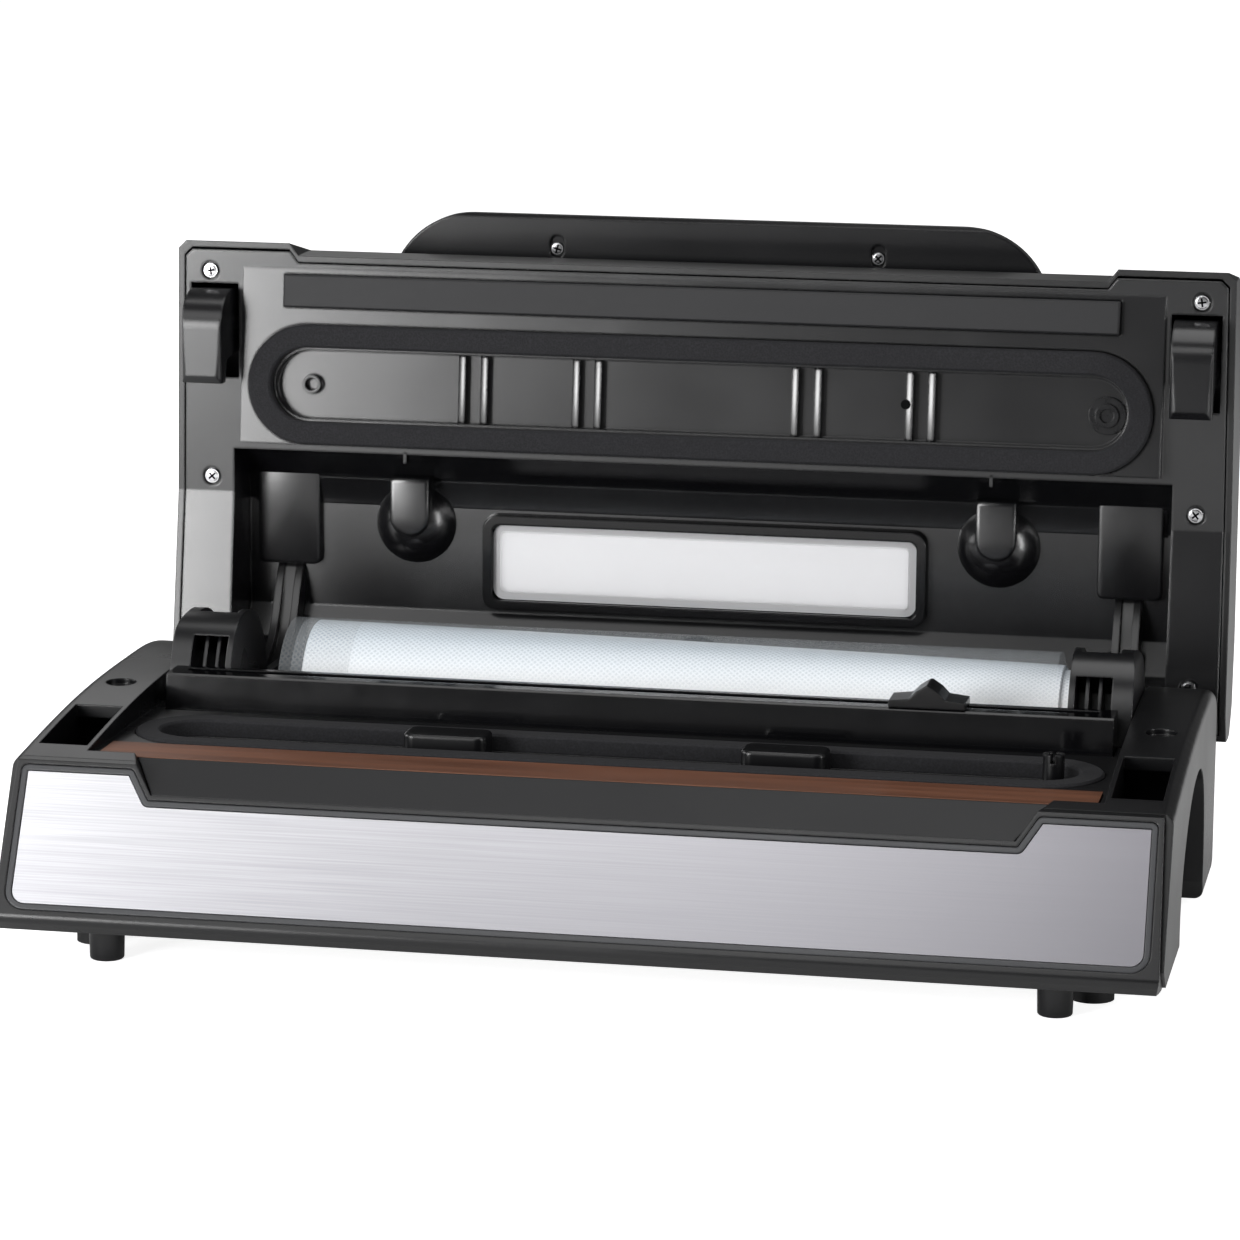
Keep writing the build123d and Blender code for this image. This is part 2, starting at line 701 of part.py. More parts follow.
with BuildPart() as lid_liner:
    with BuildSketch(Plane.YZ):
        Polygon(
            (rim_y, lid_top - 3.3),
            (rim_y, 125),
            (90.5, 75),
            (88.6, 57),
            (90, 50.2),
            (92.6, 50.2),
            (91.2, 57),
            (93.1, 75),
            (rim_y + liner_wall, 125),
            (rim_y + liner_wall, lid_top - 3.3),
            align=None,
        )
    extrude(amount=lid_half + 5, both=True)
    extrude(lid_outline(2.9, lid_top - 2.9, 42), amount=-200, both=True, mode=Mode.INTERSECT)
    # storage cavity for the roll with its curved back
    with BuildSketch(Plane.YZ):
        Polygon(
            (rim_y, 144.1),
            (105, 144.1),
            (119, 132),
            (121.9, 120),
            (121.9, 78),
            (114, 64.5),
            (106.5, 58.6),
            (92, 50.2),
            (90, 50.2),
            (88.6, 57),
            (90.5, 75),
            (rim_y, 125),
            align=None,
        )
    extrude(amount=cavity_half + 2.4, both=True)
    with BuildSketch(Plane.YZ) as hollow:
        Polygon(
            (60, 141.7),
            (104, 141.7),
            (cavity_wall - 2.6, 129),
            (cavity_wall, 119),
            (cavity_wall, 78),
            (112, 66.5),
            (105, 61),
            (90, 52.6),
            (60, 52.6),
            align=None,
        )
        bends = hollow.vertices().filter_by_position(Axis.X, 100, 125)
        fillet(bends.filter_by_position(Axis.Y, 120, 150), 7)
    extrude(amount=cavity_half, both=True, mode=Mode.SUBTRACT)
    # domed bosses on the curved back and a small rib above each
    for x in (-111.7, 111.7):
        with Locations((x, cavity_wall - 2, 108)):
            Sphere(9)
        with BuildSketch(Plane.XY.offset(108)):
            with Locations((x, cavity_wall - 2)):
                Circle(9)
        extrude(amount=14, taper=8)
        with Locations((x, 99, 140.4)):
            Box(1.2, 5, 4)
    with BuildSketch(Plane.YZ):
        Polygon((122, 90), (150, 90), (150, 140), (119.3, 131), align=None)
    extrude(amount=130, both=True, mode=Mode.SUBTRACT)
    # raised block that carries the gasket and the pressing strip
    with BuildSketch(seal_plane):
        with Locations((0, 10.4)):
            Rectangle(2 * block_half, 66.8)
    extrude(amount=-9.0)
    with BuildSketch(seal_plane):
        SlotOverall(2 * ring_half, ring_width)
    extrude(amount=-1.5, mode=Mode.SUBTRACT)
    with BuildSketch(seal_plane):
        SlotOverall(2 * (ring_half - ring_band) - 2, ring_width - 2 * ring_band - 2)
    extrude(amount=-tray_depth, mode=Mode.SUBTRACT)
    with BuildSketch(seal_plane):
        with Locations((0, strip_y)):
            Rectangle(2 * strip_half + 0.4, strip_width + 0.4)
    extrude(amount=-4, mode=Mode.SUBTRACT)
    with BuildSketch(seal_plane.offset(-tray_depth)):
        with Locations(*[(x, 0) for x in rib_spots]):
            Rectangle(1.4, ring_width - 2 * ring_band - 2)
        with Locations((-148, 0)):
            Circle(3.6)
            Circle(2.4, mode=Mode.SUBTRACT)
    extrude(amount=3.2)
    # openings: window, hooks, lid arms, screw seats
    with BuildSketch(Plane.XZ):
        with Locations((0, sum(window_z) / 2)):
            RectangleRounded(2 * window_half - 14, window_z[1] - window_z[0] - 14, 3)
    extrude(amount=-200, mode=Mode.SUBTRACT)
    for side in (-1, 1):
        with Locations((side * hook_x, 98, 187)):
            Box(hook_width + 3, 12, 36, mode=Mode.SUBTRACT)
        with Locations((side * arm_x, 97, 55.5)):
            Box(arm_width + 4, 40, 41, mode=Mode.SUBTRACT)
        with BuildSketch(Plane.XZ.offset(-cavity_wall)):
            with Locations((side * arm_x, 118)):
                RectangleRounded(23, 34, 3)
        extrude(amount=-1.0, mode=Mode.SUBTRACT)
        for z in lid_screw_z:
            with BuildSketch(Plane.XZ.offset(-screw_seat_y(z))):
                with Locations((side * lid_screw_x, z)):
                    Circle(3.5)
            extrude(amount=-1.4, mode=Mode.SUBTRACT)
            with BuildSketch(Plane.XZ.offset(-screw_seat_y(z))):
                with Locations((side * lid_screw_x, z)):
                    Circle(1.4)
            extrude(amount=-8, mode=Mode.SUBTRACT)
keep(lid_liner, "lid_liner")

with BuildPart() as lid_screws:
    for side in (-1, 1):
        for z in lid_screw_z:
            with BuildSketch(Plane.XZ.offset(-screw_seat_y(z) - 1.4)):
                with Locations((side * lid_screw_x, z)):
                    Circle(2.7)
            extrude(amount=1.4)
            with BuildSketch(Plane.XZ.offset(-screw_seat_y(z) - 1.4)):
                with Locations((side * lid_screw_x, z)):
                    Circle(1.4)
            extrude(amount=-9)
keep(lid_screws, "lid_screws")

lid_gasket = gasket_ring(seal_plane.offset(-1.5), 1.5 + face_shut_z - ring_top - 0.3)
keep(lid_gasket, "lid_gasket")

with BuildPart() as press_strip:
    with BuildSketch(seal_plane.offset(-4)):
        with Locations((0, strip_y)):
            Rectangle(2 * strip_half, strip_width)
    extrude(amount=7.4)
    top = press_strip.faces().sort_by(Axis(seal_plane.origin, seal_plane.z_dir))[-1]
    chamfer(top.edges(), 0.6)
keep(press_strip, "press_strip")

with BuildPart() as vacuum_cup:
    with BuildSketch(seal_plane.offset(-tray_depth)):
        with Locations((nozzle_x + 0.5, ring_y - nozzle_y)):
            Circle(7)
    extrude(amount=1.2)
    with BuildSketch(seal_plane.offset(1.2 - tray_depth)):
        with Locations((nozzle_x + 0.5, ring_y - nozzle_y)):
            Circle(4.4)
            Circle(2.6, mode=Mode.SUBTRACT)
    extrude(amount=0.9)
keep(vacuum_cup, "vacuum_cup")

# ---------------------------------------------------------------- window
with BuildPart() as window_frame:
    with BuildSketch(Plane.XZ.offset(-cavity_wall)):
        with Locations((0, sum(window_z) / 2)):
            RectangleRounded(2 * window_half, window_z[1] - window_z[0], 6)
    extrude(amount=4.5, taper=6)
    with BuildSketch(Plane.XZ.offset(-cavity_wall)):
        with Locations((0, sum(window_z) / 2)):
            RectangleRounded(2 * window_half - 8, window_z[1] - window_z[0] - 8, 3)
    extrude(amount=10, mode=Mode.SUBTRACT)
keep(window_frame, "window_frame")

with BuildPart() as window_lens:
    with BuildSketch(Plane.XZ.offset(-cavity_wall)):
        with Locations((0, sum(window_z) / 2)):
            RectangleRounded(2 * window_half - 8.4, window_z[1] - window_z[0] - 8.4, 2.8)
    extrude(amount=1.8)
keep(window_lens, "window_lens")

# ---------------------------------------------------------------- lid arms
flange = 2.8


def arm_face(plane, web):
    """Side view of a lid arm, with its upper edge lowered by the depth of the channel."""
    low, back = 0.8 * web, 0.6 * web
    with BuildSketch(plane) as face:
        with BuildLine():
            lower = Spline((61.5, hinge_z - 8), (76, 43.6), (96, 50.5), (112.5, 67), (cavity_wall, 80))
            tip = Line(lower @ 1, (cavity_wall, 95))
            upper = Spline(
                tip @ 1,
                (112.5 + 0.5 * back, 86 - low),
                (105.5 + back, 73 - low),
                (91 + back, 61.5 - low),
                (76, 58 - low),
                (61.5, hinge_z + 8 - 0.2 * low),
            )
            Line(upper @ 1, lower @ 0)
        make_face()
        with Locations((hinge_y, hinge_z)):
            Circle(8.2)
            Circle(pin_radius + 0.06, mode=Mode.SUBTRACT)
    return face.sketch


for side, name in ((-1, "lid_arm_left"), (1, "lid_arm_right")):
    inner = side * (arm_x - arm_width / 2)
    with BuildPart() as lid_arm:
        extrude(arm_face(Plane.YZ.offset(inner), 3.0), amount=side * arm_width)
        extrude(arm_face(Plane.YZ.offset(inner), 0), amount=side * flange)
        extrude(arm_face(Plane.YZ.offset(inner + side * (arm_width - flange)), 0), amount=side * flange)
    keep(lid_arm, name)

# ---------------------------------------------------------------- handle lock
hub_radius = 6.5
shaft_radius = 3.0
handle_back = 144.2

with BuildPart() as latch_shaft:
    with BuildSketch(Plane.YZ):
        with Locations((latch_y, latch_z)):
            Circle(shaft_radius)
    extrude(amount=hook_x + hook_width / 2, both=True)
keep(latch_shaft, "latch_shaft")

for side, name in ((-1, "latch_hook_left"), (1, "latch_hook_right")):
    with BuildPart() as latch_hook:
        with BuildSketch(Plane.YZ.offset(side * hook_x)):
            with BuildLine():
                heel = Line((latch_y - 2, latch_z + hub_radius), (100, 202.5))
                brow = Spline(heel @ 1, (91, 203.2), (81.6, 199), (77.4, 190))
                Polyline(
                    brow @ 1,
                    (76.7, 172),
                    (78.2, 169.2),
                    (83.2, 169.2),
                    (85.4, 177.5),
                    (96, 178.5),
                    (latch_y - 2, latch_z - hub_radius),
                    heel @ 0,
                )
            make_face()
            with Locations((latch_y, latch_z)):
                Circle(hub_radius)
                Circle(shaft_radius, mode=Mode.SUBTRACT)
        extrude(amount=hook_width / 2, both=True)
        with BuildSketch(Plane.XY.offset(latch_z)):
            with Locations((side * hook_x, 116.7)):
                RectangleRounded(hook_width, 80, 2.5)
        extrude(amount=40, both=True, mode=Mode.INTERSECT)
    keep(latch_hook, name)

with BuildPart() as handle_arms:
    for side in (-1, 1):
        with BuildSketch(Plane.YZ.offset(side * 62)):
            Polygon((latch_y, latch_z + 6.5), (134, 204), (138.5, 205), (138.5, 189), (latch_y, latch_z - 6.5), align=None)
            with Locations((latch_y, latch_z)):
                Circle(hub_radius)
                Circle(shaft_radius, mode=Mode.SUBTRACT)
        extrude(amount=6, both=True)
keep(handle_arms, "handle_arms")


def handle_outline(inset):
    """Long tongue with large round ends, seen from the front."""
    with BuildSketch(Plane.XZ) as outline:
        half = handle_half - inset
        Polygon((-half, 188), (half, 188), (half - 2, handle_top - inset), (2 - half, handle_top - inset), align=None)
        fillet(outline.vertices().sort_by(Axis.Y)[-2:], 34)
        fillet(outline.vertices().sort_by(Axis.Y)[:2], 6)
    return outline.sketch


handle_split = 141.4
screw_hole_z = 218.0
with BuildPart() as handle_grip:
    with BuildSketch(Plane.YZ):
        Polygon((138.5, 188), (138.5, 228.6), (handle_split, handle_top), (handle_split, 188), align=None)
    extrude(amount=handle_half, both=True)
    extrude(handle_outline(0), amount=-200, both=True, mode=Mode.INTERSECT)
    with BuildSketch(Plane.XZ.offset(-138.5)):
        with Locations((-62, screw_hole_z), (62, screw_hole_z)):
            SlotOverall(8.5, 5.4, rotation=90)
    extrude(amount=-1.6, mode=Mode.SUBTRACT)
    with BuildSketch(Plane.XZ.offset(-138.5)):
        with Locations((-62, screw_hole_z - 1), (62, screw_hole_z - 1)):
            Circle(1.2)
    extrude(amount=-5, mode=Mode.SUBTRACT)
keep(handle_grip, "handle_grip")

with BuildPart() as handle_cover:
    with BuildSketch(Plane.YZ):
        Polygon(
            (handle_split, 188),
            (handle_split, handle_top),
            (handle_back - 1, handle_top - 1.2),
            (handle_back, 222),
            (handle_back, 196),
            (handle_back - 1.2, 188),
            align=None,
        )
    extrude(amount=handle_half, both=True)
    extrude(handle_outline(0), amount=-200, both=True, mode=Mode.INTERSECT)
    with BuildSketch(Plane.XZ.offset(-handle_split)):
        with Locations((-62, screw_hole_z - 1), (62, screw_hole_z - 1)):
            Circle(1.2)
    extrude(amount=-1.6, mode=Mode.SUBTRACT)
keep(handle_cover, "handle_cover")

with BuildPart() as handle_screws:
    with BuildSketch(Plane.XZ.offset(-140.1)):
        with Locations((-62, screw_hole_z - 1), (62, screw_hole_z - 1)):
            Circle(2.3)
    extrude(amount=1.1)
    with BuildSketch(Plane.XZ.offset(-140.1)):
        with Locations((-62, screw_hole_z - 1), (62, screw_hole_z - 1)):
            Circle(1.2)
    extrude(amount=-2.6)
keep(handle_screws, "handle_screws")

# ---------------------------------------------------------------- controls
with BuildPart() as control_strip:
    with BuildSketch(control_plane.offset(-1.2)):
        RectangleRounded(control_length, control_height, 6)
        with GridLocations(button_pitch, 0, len(button_names), 1):
            RectangleRounded(button_length + 0.6, button_height + 0.6, 3, mode=Mode.SUBTRACT)
    extrude(amount=1.2)
keep(control_strip, "control_strip")

for index, name in enumerate(button_names):
    with BuildPart() as button:
        with BuildSketch(control_plane.offset(-3.6)):
            with Locations(((index - 2) * button_pitch, 0)):
                RectangleRounded(button_length, button_height, 2.8)
        extrude(amount=4.8)
        chamfer(button.faces().sort_by(Axis(control_plane.origin, control_plane.z_dir))[-1].edges(), 0.4)
    keep(button, name)

with BuildPart() as keypad_board:
    with BuildSketch(control_plane.offset(-7.0)):
        RectangleRounded(control_length - 4, 20, 2)
    extrude(amount=1.6)
keep(keypad_board, "keypad_board")

# ---------------------------------------------------------------- inside the base
cover_top = ground_gap + 2.4
with BuildPart() as pump_motor:
    with BuildSketch(Plane.YZ.offset(-112)):
        with Locations((-58, 31)):
            Circle(15)
    extrude(amount=48)
    with BuildSketch(Plane.YZ.offset(-115)):
        with Locations((-58, 31)):
            Circle(5)
    extrude(amount=3)
keep(pump_motor, "pump_motor")

with BuildPart() as pump_head:
    with BuildSketch(Plane.YZ.offset(-64)):
        with Locations((-58, 31)):
            RectangleRounded(34, 32, 4)
    extrude(amount=30)
    with BuildSketch(Plane.YZ.offset(-34)):
        with Locations((-66, 42), (-50, 42)):
            Circle(2.4)
    extrude(amount=7)
keep(pump_head, "pump_head")

with BuildPart() as transformer_core:
    with Locations((88, -84, cover_top + 17)):
        Box(48, 40, 34)
        Box(30, 60, 22, mode=Mode.SUBTRACT)
        Box(12, 40, 22)
keep(transformer_core, "transformer_core")

with BuildPart() as transformer_coil:
    with Locations((88, -84, cover_top + 17)):
        Box(29.4, 50, 21.4)
        Box(12.4, 60, 30, mode=Mode.SUBTRACT)
keep(transformer_coil, "transformer_coil")

with BuildPart() as control_board:
    with BuildSketch(Plane.XY.offset(cover_top + 4)):
        with Locations((18, -76)):
            Rectangle(80, 56)
    extrude(amount=1.6)
    with BuildSketch(Plane.XY.offset(cover_top)):
        with Locations((18, -76)):
            with GridLocations(70, 46, 2, 2):
                Circle(2.5)
    extrude(amount=4)
keep(control_board, "control_board")

board_top = cover_top + 5.6
with BuildPart() as board_parts:
    with Locations((-2, -92, board_top)):
        Box(19, 15, 15, align=(Align.CENTER, Align.CENTER, Align.MIN))
    with Locations((30, -92, board_top)):
        Cylinder(6, 20, align=(Align.CENTER, Align.CENTER, Align.MIN))
    with Locations((46, -92, board_top)):
        Cylinder(5, 16, align=(Align.CENTER, Align.CENTER, Align.MIN))
    with Locations((18, -66, board_top)):
        Box(30, 8, 18, align=(Align.CENTER, Align.CENTER, Align.MIN))
keep(board_parts, "board_parts")

with BuildPart() as release_valve:
    with Locations((128, nozzle_y, cover_top)):
        Box(22, 20, 22, align=(Align.CENTER, Align.CENTER, Align.MIN))
    with BuildSketch(Plane.XY.offset(cover_top + 22)):
        with Locations((128, nozzle_y)):
            RectangleRounded(14, 14, 3)
    extrude(amount=10)
keep(release_valve, "release_valve")


def tube(points, radius, outer):
    """Soft tube along straight runs joined by round bends."""
    with BuildPart() as hose:
        with BuildLine():
            path = FilletPolyline(*points, radius=radius)
        with BuildSketch(Plane(origin=path @ 0, z_dir=path % 0)):
            Circle(outer)
        sweep()
    return hose


hose_y = -30.0
hose_z = 42.0
valve_x = 128.0
pump_hose = tube(
    [(-27, -50, hose_z), (0, -50, hose_z), (20, hose_y, hose_z), (valve_x, hose_y, hose_z), (valve_x, nozzle_y + 7, hose_z)],
    8,
    3,
)
keep(pump_hose, "pump_hose")

chamber_hose = tube([(139, nozzle_y, 30), (nozzle_x, nozzle_y, 30), (nozzle_x, nozzle_y, 53.8)], 9, 3)
keep(chamber_hose, "chamber_hose")

with BuildPart() as latch_switches:
    for side in (-1, 1):
        with Locations((side * 162, -79, 48)):
            Box(13, 6.5, 11)
keep(latch_switches, "latch_switches")

with BuildPart() as cord_gland:
    with BuildSketch(Plane.XZ.offset(-(back_wall - wall - 2))):
        with Locations((gland_x, gland_z)):
            Circle(4.9)
            Circle(3, mode=Mode.SUBTRACT)
    extrude(amount=-(wall + 2))
    with BuildSketch(Plane.XZ.offset(-back_wall)):
        with Locations((gland_x, gland_z)):
            Circle(7)
            Circle(3, mode=Mode.SUBTRACT)
    extrude(amount=-3)
keep(cord_gland, "cord_gland")

print(len(pieces), "pieces")
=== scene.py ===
# Vacuum sealer with its lid open: finishes and fine pieces on the CAD frame
from math import cos, pi, radians, sin, tan

import bmesh
import bpy
from mathutils import Matrix, Vector


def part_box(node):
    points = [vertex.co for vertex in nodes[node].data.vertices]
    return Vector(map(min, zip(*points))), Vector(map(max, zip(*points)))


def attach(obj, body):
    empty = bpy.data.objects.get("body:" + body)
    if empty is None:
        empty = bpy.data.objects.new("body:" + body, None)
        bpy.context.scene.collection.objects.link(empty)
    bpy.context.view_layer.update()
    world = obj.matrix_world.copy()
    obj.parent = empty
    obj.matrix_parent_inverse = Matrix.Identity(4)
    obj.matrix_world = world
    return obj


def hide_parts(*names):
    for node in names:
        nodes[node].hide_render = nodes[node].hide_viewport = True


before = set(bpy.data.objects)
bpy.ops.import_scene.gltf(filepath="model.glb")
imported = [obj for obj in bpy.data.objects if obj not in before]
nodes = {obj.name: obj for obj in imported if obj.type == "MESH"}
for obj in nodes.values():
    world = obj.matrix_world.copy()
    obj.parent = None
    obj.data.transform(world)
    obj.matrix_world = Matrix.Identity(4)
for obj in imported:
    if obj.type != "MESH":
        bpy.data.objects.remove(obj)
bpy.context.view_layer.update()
mm = 0.001
tiny = 1e-6  # m, closer than this is the same place
print("frame loaded:", len(nodes), "nodes")

cameraPlan = {
    "target": (-13.5, 21.5, 96.7),  # mm
    "distance": 1797,  # mm
    "azimuth": 10.96,  # degrees to the right of straight ahead
    "elevation": 11.04,  # degrees above level
    "roll": 0.49,  # degrees
    "lens": 143.8,  # mm
    "sensor": 36,  # mm
    "clip": (0.05, 20),  # m, nearest and furthest
}


def makeCamera(plan):
    azimuth = radians(plan["azimuth"])
    elevation = radians(plan["elevation"])
    back = Vector((sin(azimuth) * cos(elevation), -cos(azimuth) * cos(elevation), sin(elevation)))
    right = Vector((cos(azimuth), sin(azimuth), 0))
    up = back.cross(right)
    turn = radians(plan["roll"])
    across = cos(turn) * right + sin(turn) * up
    above = cos(turn) * up - sin(turn) * right
    data = bpy.data.cameras.new("studioCamera")
    data.lens = plan["lens"]
    data.sensor_width = plan["sensor"]
    data.clip_start, data.clip_end = plan["clip"]
    camera = bpy.data.objects.new("studioCamera", data)
    bpy.context.scene.collection.objects.link(camera)
    place = Matrix((across, above, back)).transposed().to_4x4()
    place.translation = (Vector(plan["target"]) + back * plan["distance"]) * mm
    camera.matrix_world = place
    bpy.context.scene.camera = camera


makeCamera(cameraPlan)
print("camera set")


def linear(hexColour):
    # "#rrggbb" to linear red, green, blue and 1
    parts = [int(hexColour[i : i + 2], 16) / 255 for i in (1, 3, 5)]
    return tuple(c / 12.92 if c <= 0.04045 else ((c + 0.055) / 1.055) ** 2.4 for c in parts) + (1,)


def addNode(material, kind, inputs=None, **settings):
    node = material.node_tree.nodes.new(kind)
    for name, value in settings.items():
        setattr(node, name, value)
    for name, value in (inputs or {}).items():
        if isinstance(value, bpy.types.NodeSocket):
            material.node_tree.links.new(value, node.inputs[name])
        else:
            node.inputs[name].default_value = value
    return node


def newMaterial(name):
    material = bpy.data.materials.new(name)
    material.use_nodes = True
    material.node_tree.nodes.clear()
    return material


def finishShader(material, inputs):
    shader = addNode(material, "ShaderNodeBsdfPrincipled", inputs)
    addNode(material, "ShaderNodeOutputMaterial", {"Surface": shader.outputs[0]})
    return material


def objectPoint(material, scale=(1, 1, 1)):
    where = addNode(material, "ShaderNodeTexCoord").outputs["Object"]
    return addNode(material, "ShaderNodeMapping", {0: where, "Scale": scale}).outputs[0]


def noiseOver(material, point, grain, detail=2.0):
    # grain in mm
    inputs = {"Vector": point, "Scale": 1 / (grain * mm), "Detail": detail}
    return addNode(material, "ShaderNodeTexNoise", inputs).outputs["Fac"]


def ranged(material, value, low, high, start=0.0, end=1.0):
    # start to end becomes low to high
    inputs = {"Value": value, "From Min": start, "From Max": end, "To Min": low, "To Max": high}
    return addNode(material, "ShaderNodeMapRange", inputs).outputs[0]


def worked(material, operation, first, second):
    return addNode(material, "ShaderNodeMath", {0: first, 1: second}, operation=operation).outputs[0]


def blended(material, factor, first, second):
    return addNode(material, "ShaderNodeMix", {0: factor, 6: first, 7: second}, data_type="RGBA").outputs[2]


def bumped(material, height, depth, edge=0.0):
    # depth of the bump and radius of the softened edges, both in mm
    inputs = {"Height": height, "Distance": depth * mm, "Strength": 1.0}
    if edge:
        inputs["Normal"] = addNode(material, "ShaderNodeBevel", {"Radius": edge * mm}, samples=4).outputs[0]
    return addNode(material, "ShaderNodeBump", inputs).outputs[0]


def mouldedAbs(name, colour, roughness, grain=0.5, depth=0.012, edge=0.8, ior=1.54):
    # ABS from a spark-eroded mould: an even, fine grain that breaks up the highlights
    material = newMaterial(name)
    point = objectPoint(material)
    grit = noiseOver(material, point, grain)
    cloud = noiseOver(material, point, 45)  # slow change of gloss from how the part cooled
    tone = blended(material, ranged(material, cloud, 0.0, 0.15), linear(colour), linear("#1b1c1e"))
    return finishShader(
        material,
        {
            "Base Color": tone,
            "Roughness": ranged(material, cloud, roughness - 0.04, roughness + 0.06),
            "IOR": ior,
            "Normal": bumped(material, grit, depth, edge),
        },
    )


def polishedAbs(name, colour, roughness=0.1, edge=0.6, ior=1.48):
    # ABS from a polished mould: mirror-like, with a slight waviness from shrinkage
    material = newMaterial(name)
    point = objectPoint(material)
    wave = noiseOver(material, point, 26, 0.0)
    return finishShader(
        material,
        {
            "Base Color": blended(material, wave, linear(colour), linear("#0c0c0e")),
            "Roughness": ranged(material, noiseOver(material, point, 8), roughness * 0.8, roughness * 1.4),
            "IOR": ior,
            "Normal": bumped(material, wave, 0.05, edge),
        },
    )


sheetPlan = {
    "hairline": 0.5,  # mm, width of a hairline
    "hairlineStretch": (0.008, 1, 1),  # a hairline is 125 times as long as it is wide
    "streak": 3.2,  # mm, width of a broader streak
    "streakStretch": (0.014, 1, 1),
    "ends": (-0.19, 0.19),  # m along the sheet, between which its painted reflection falls from bright to grey
    "foot": (0.018, 0.055),  # m, heights between which painted shade grows darker downwards
    "anisotropy": 0.4,
}


def brushedStainless(name, plan):
    # stainless sheet brushed along its length: long hairlines that spread the light upwards. Its colour
    # carries a painted reflection, bright at the left end and grey at the right, and painted shade at its
    # foot
    material = newMaterial(name)
    fine = noiseOver(material, objectPoint(material, plan["hairlineStretch"]), plan["hairline"], 4.0)
    coarse = noiseOver(material, objectPoint(material, plan["streakStretch"]), plan["streak"], 2.0)
    where = addNode(material, "ShaderNodeSeparateXYZ", {0: objectPoint(material)})
    # painted reflection: the sheet's tone falls from bright at its left end to grey at its right
    across = ranged(material, where.outputs[0], 0.0, 1.0, *plan["ends"])
    sheet = blended(material, across, linear("#bcbcbf"), linear("#8f8d93"))
    lines = ranged(material, fine, 0.0, 0.42, 0.66, 0.34)
    tone = blended(material, lines, sheet, linear("#8e8e92"))
    tone = blended(material, ranged(material, coarse, 0.0, 0.1, 0.4, 0.7), tone, linear("#9c9ba0"))
    # painted shade: the sheet grows darker towards its foot
    lower = ranged(material, where.outputs[2], 0.45, 0.0, *plan["foot"])
    tone = blended(material, lower, tone, linear("#858489"))
    return finishShader(
        material,
        {
            "Base Color": tone,
            "Metallic": 1.0,
            "Roughness": ranged(material, fine, 0.3, 0.38),
            "Anisotropic": plan["anisotropy"],
            "Tangent": addNode(material, "ShaderNodeTangent", direction_type="RADIAL", axis="X").outputs[0],
            "Normal": bumped(material, fine, 0.004),
        },
    )


def closedCellFoam(name):
    # EVA foam cut from sheet: dead matt, with small pores
    material = newMaterial(name)
    pore = 0.7  # mm
    inputs = {"Vector": objectPoint(material), "Scale": 1 / (pore * mm)}
    pores = addNode(material, "ShaderNodeTexVoronoi", inputs).outputs["Distance"]
    return finishShader(
        material,
        {
            "Base Color": blended(material, pores, linear("#131315"), linear("#242427")),
            "Roughness": 0.9,
            "IOR": 1.4,
            "Normal": bumped(material, pores, 0.05, 0.6),
        },
    )


def ptfeGlassCloth(name):
    # PTFE-coated glass cloth: brown, satin, the weave just showing, darker where the bags rub it
    material = newMaterial(name)
    thread = 0.35  # mm, the real cloth
    waveStretch = 6.4  # a wave repeats every 0.31 of its size, so the weave is drawn twice its real size
    inputs = {"Vector": objectPoint(material), "Scale": 1 / (waveStretch * thread * mm)}
    warp = addNode(material, "ShaderNodeTexWave", inputs, bands_direction="X").outputs["Fac"]
    weft = addNode(material, "ShaderNodeTexWave", inputs, bands_direction="Y").outputs["Fac"]
    weave = worked(material, "MULTIPLY", warp, weft)
    smear = noiseOver(material, objectPoint(material, (0.06, 1, 1)), 5, 3.0)
    rubbed = ranged(material, smear, 0.0, 1.0, 0.3, 0.7)
    tone = blended(material, rubbed, linear("#52301f"), linear("#764c37"))
    tone = blended(material, ranged(material, weave, 0.0, 0.18), tone, linear("#96705a"))
    return finishShader(
        material,
        {
            "Base Color": tone,
            "Roughness": ranged(material, smear, 0.36, 0.5),
            "IOR": 1.38,
            "Normal": bumped(material, weave, 0.02, 0.3),
        },
    )


def rollPoint(material, radius):
    # place on the unrolled film, along the roll and round it, and the height above the roll's axis
    parts = addNode(material, "ShaderNodeSeparateXYZ", {0: objectPoint(material)})
    low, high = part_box("bag_roll")
    centre = (low + high) / 2
    side = worked(material, "SUBTRACT", parts.outputs[1], centre.y)
    rise = worked(material, "SUBTRACT", parts.outputs[2], centre.z)
    turned = worked(material, "ARCTAN2", side, rise)
    return parts.outputs[0], worked(material, "MULTIPLY", turned, radius * mm), rise


wafflePitch = 1.6  # mm; the real embossing is 1.2 mm, drawn coarser so that it shows


def waffleOver(material, along, girth):
    # diamond embossing, 0 in the hollows and 1 on the ridges
    ridges = []
    for lean in ("ADD", "SUBTRACT"):
        slant = worked(material, lean, along, girth)
        step = worked(material, "MULTIPLY", slant, 2 * pi / (wafflePitch * 1.41 * mm))
        ridges.append(worked(material, "SINE", step, 0.0))
    return ranged(material, worked(material, "MAXIMUM", *ridges), 0.0, 1.0, -0.4, 1.0)


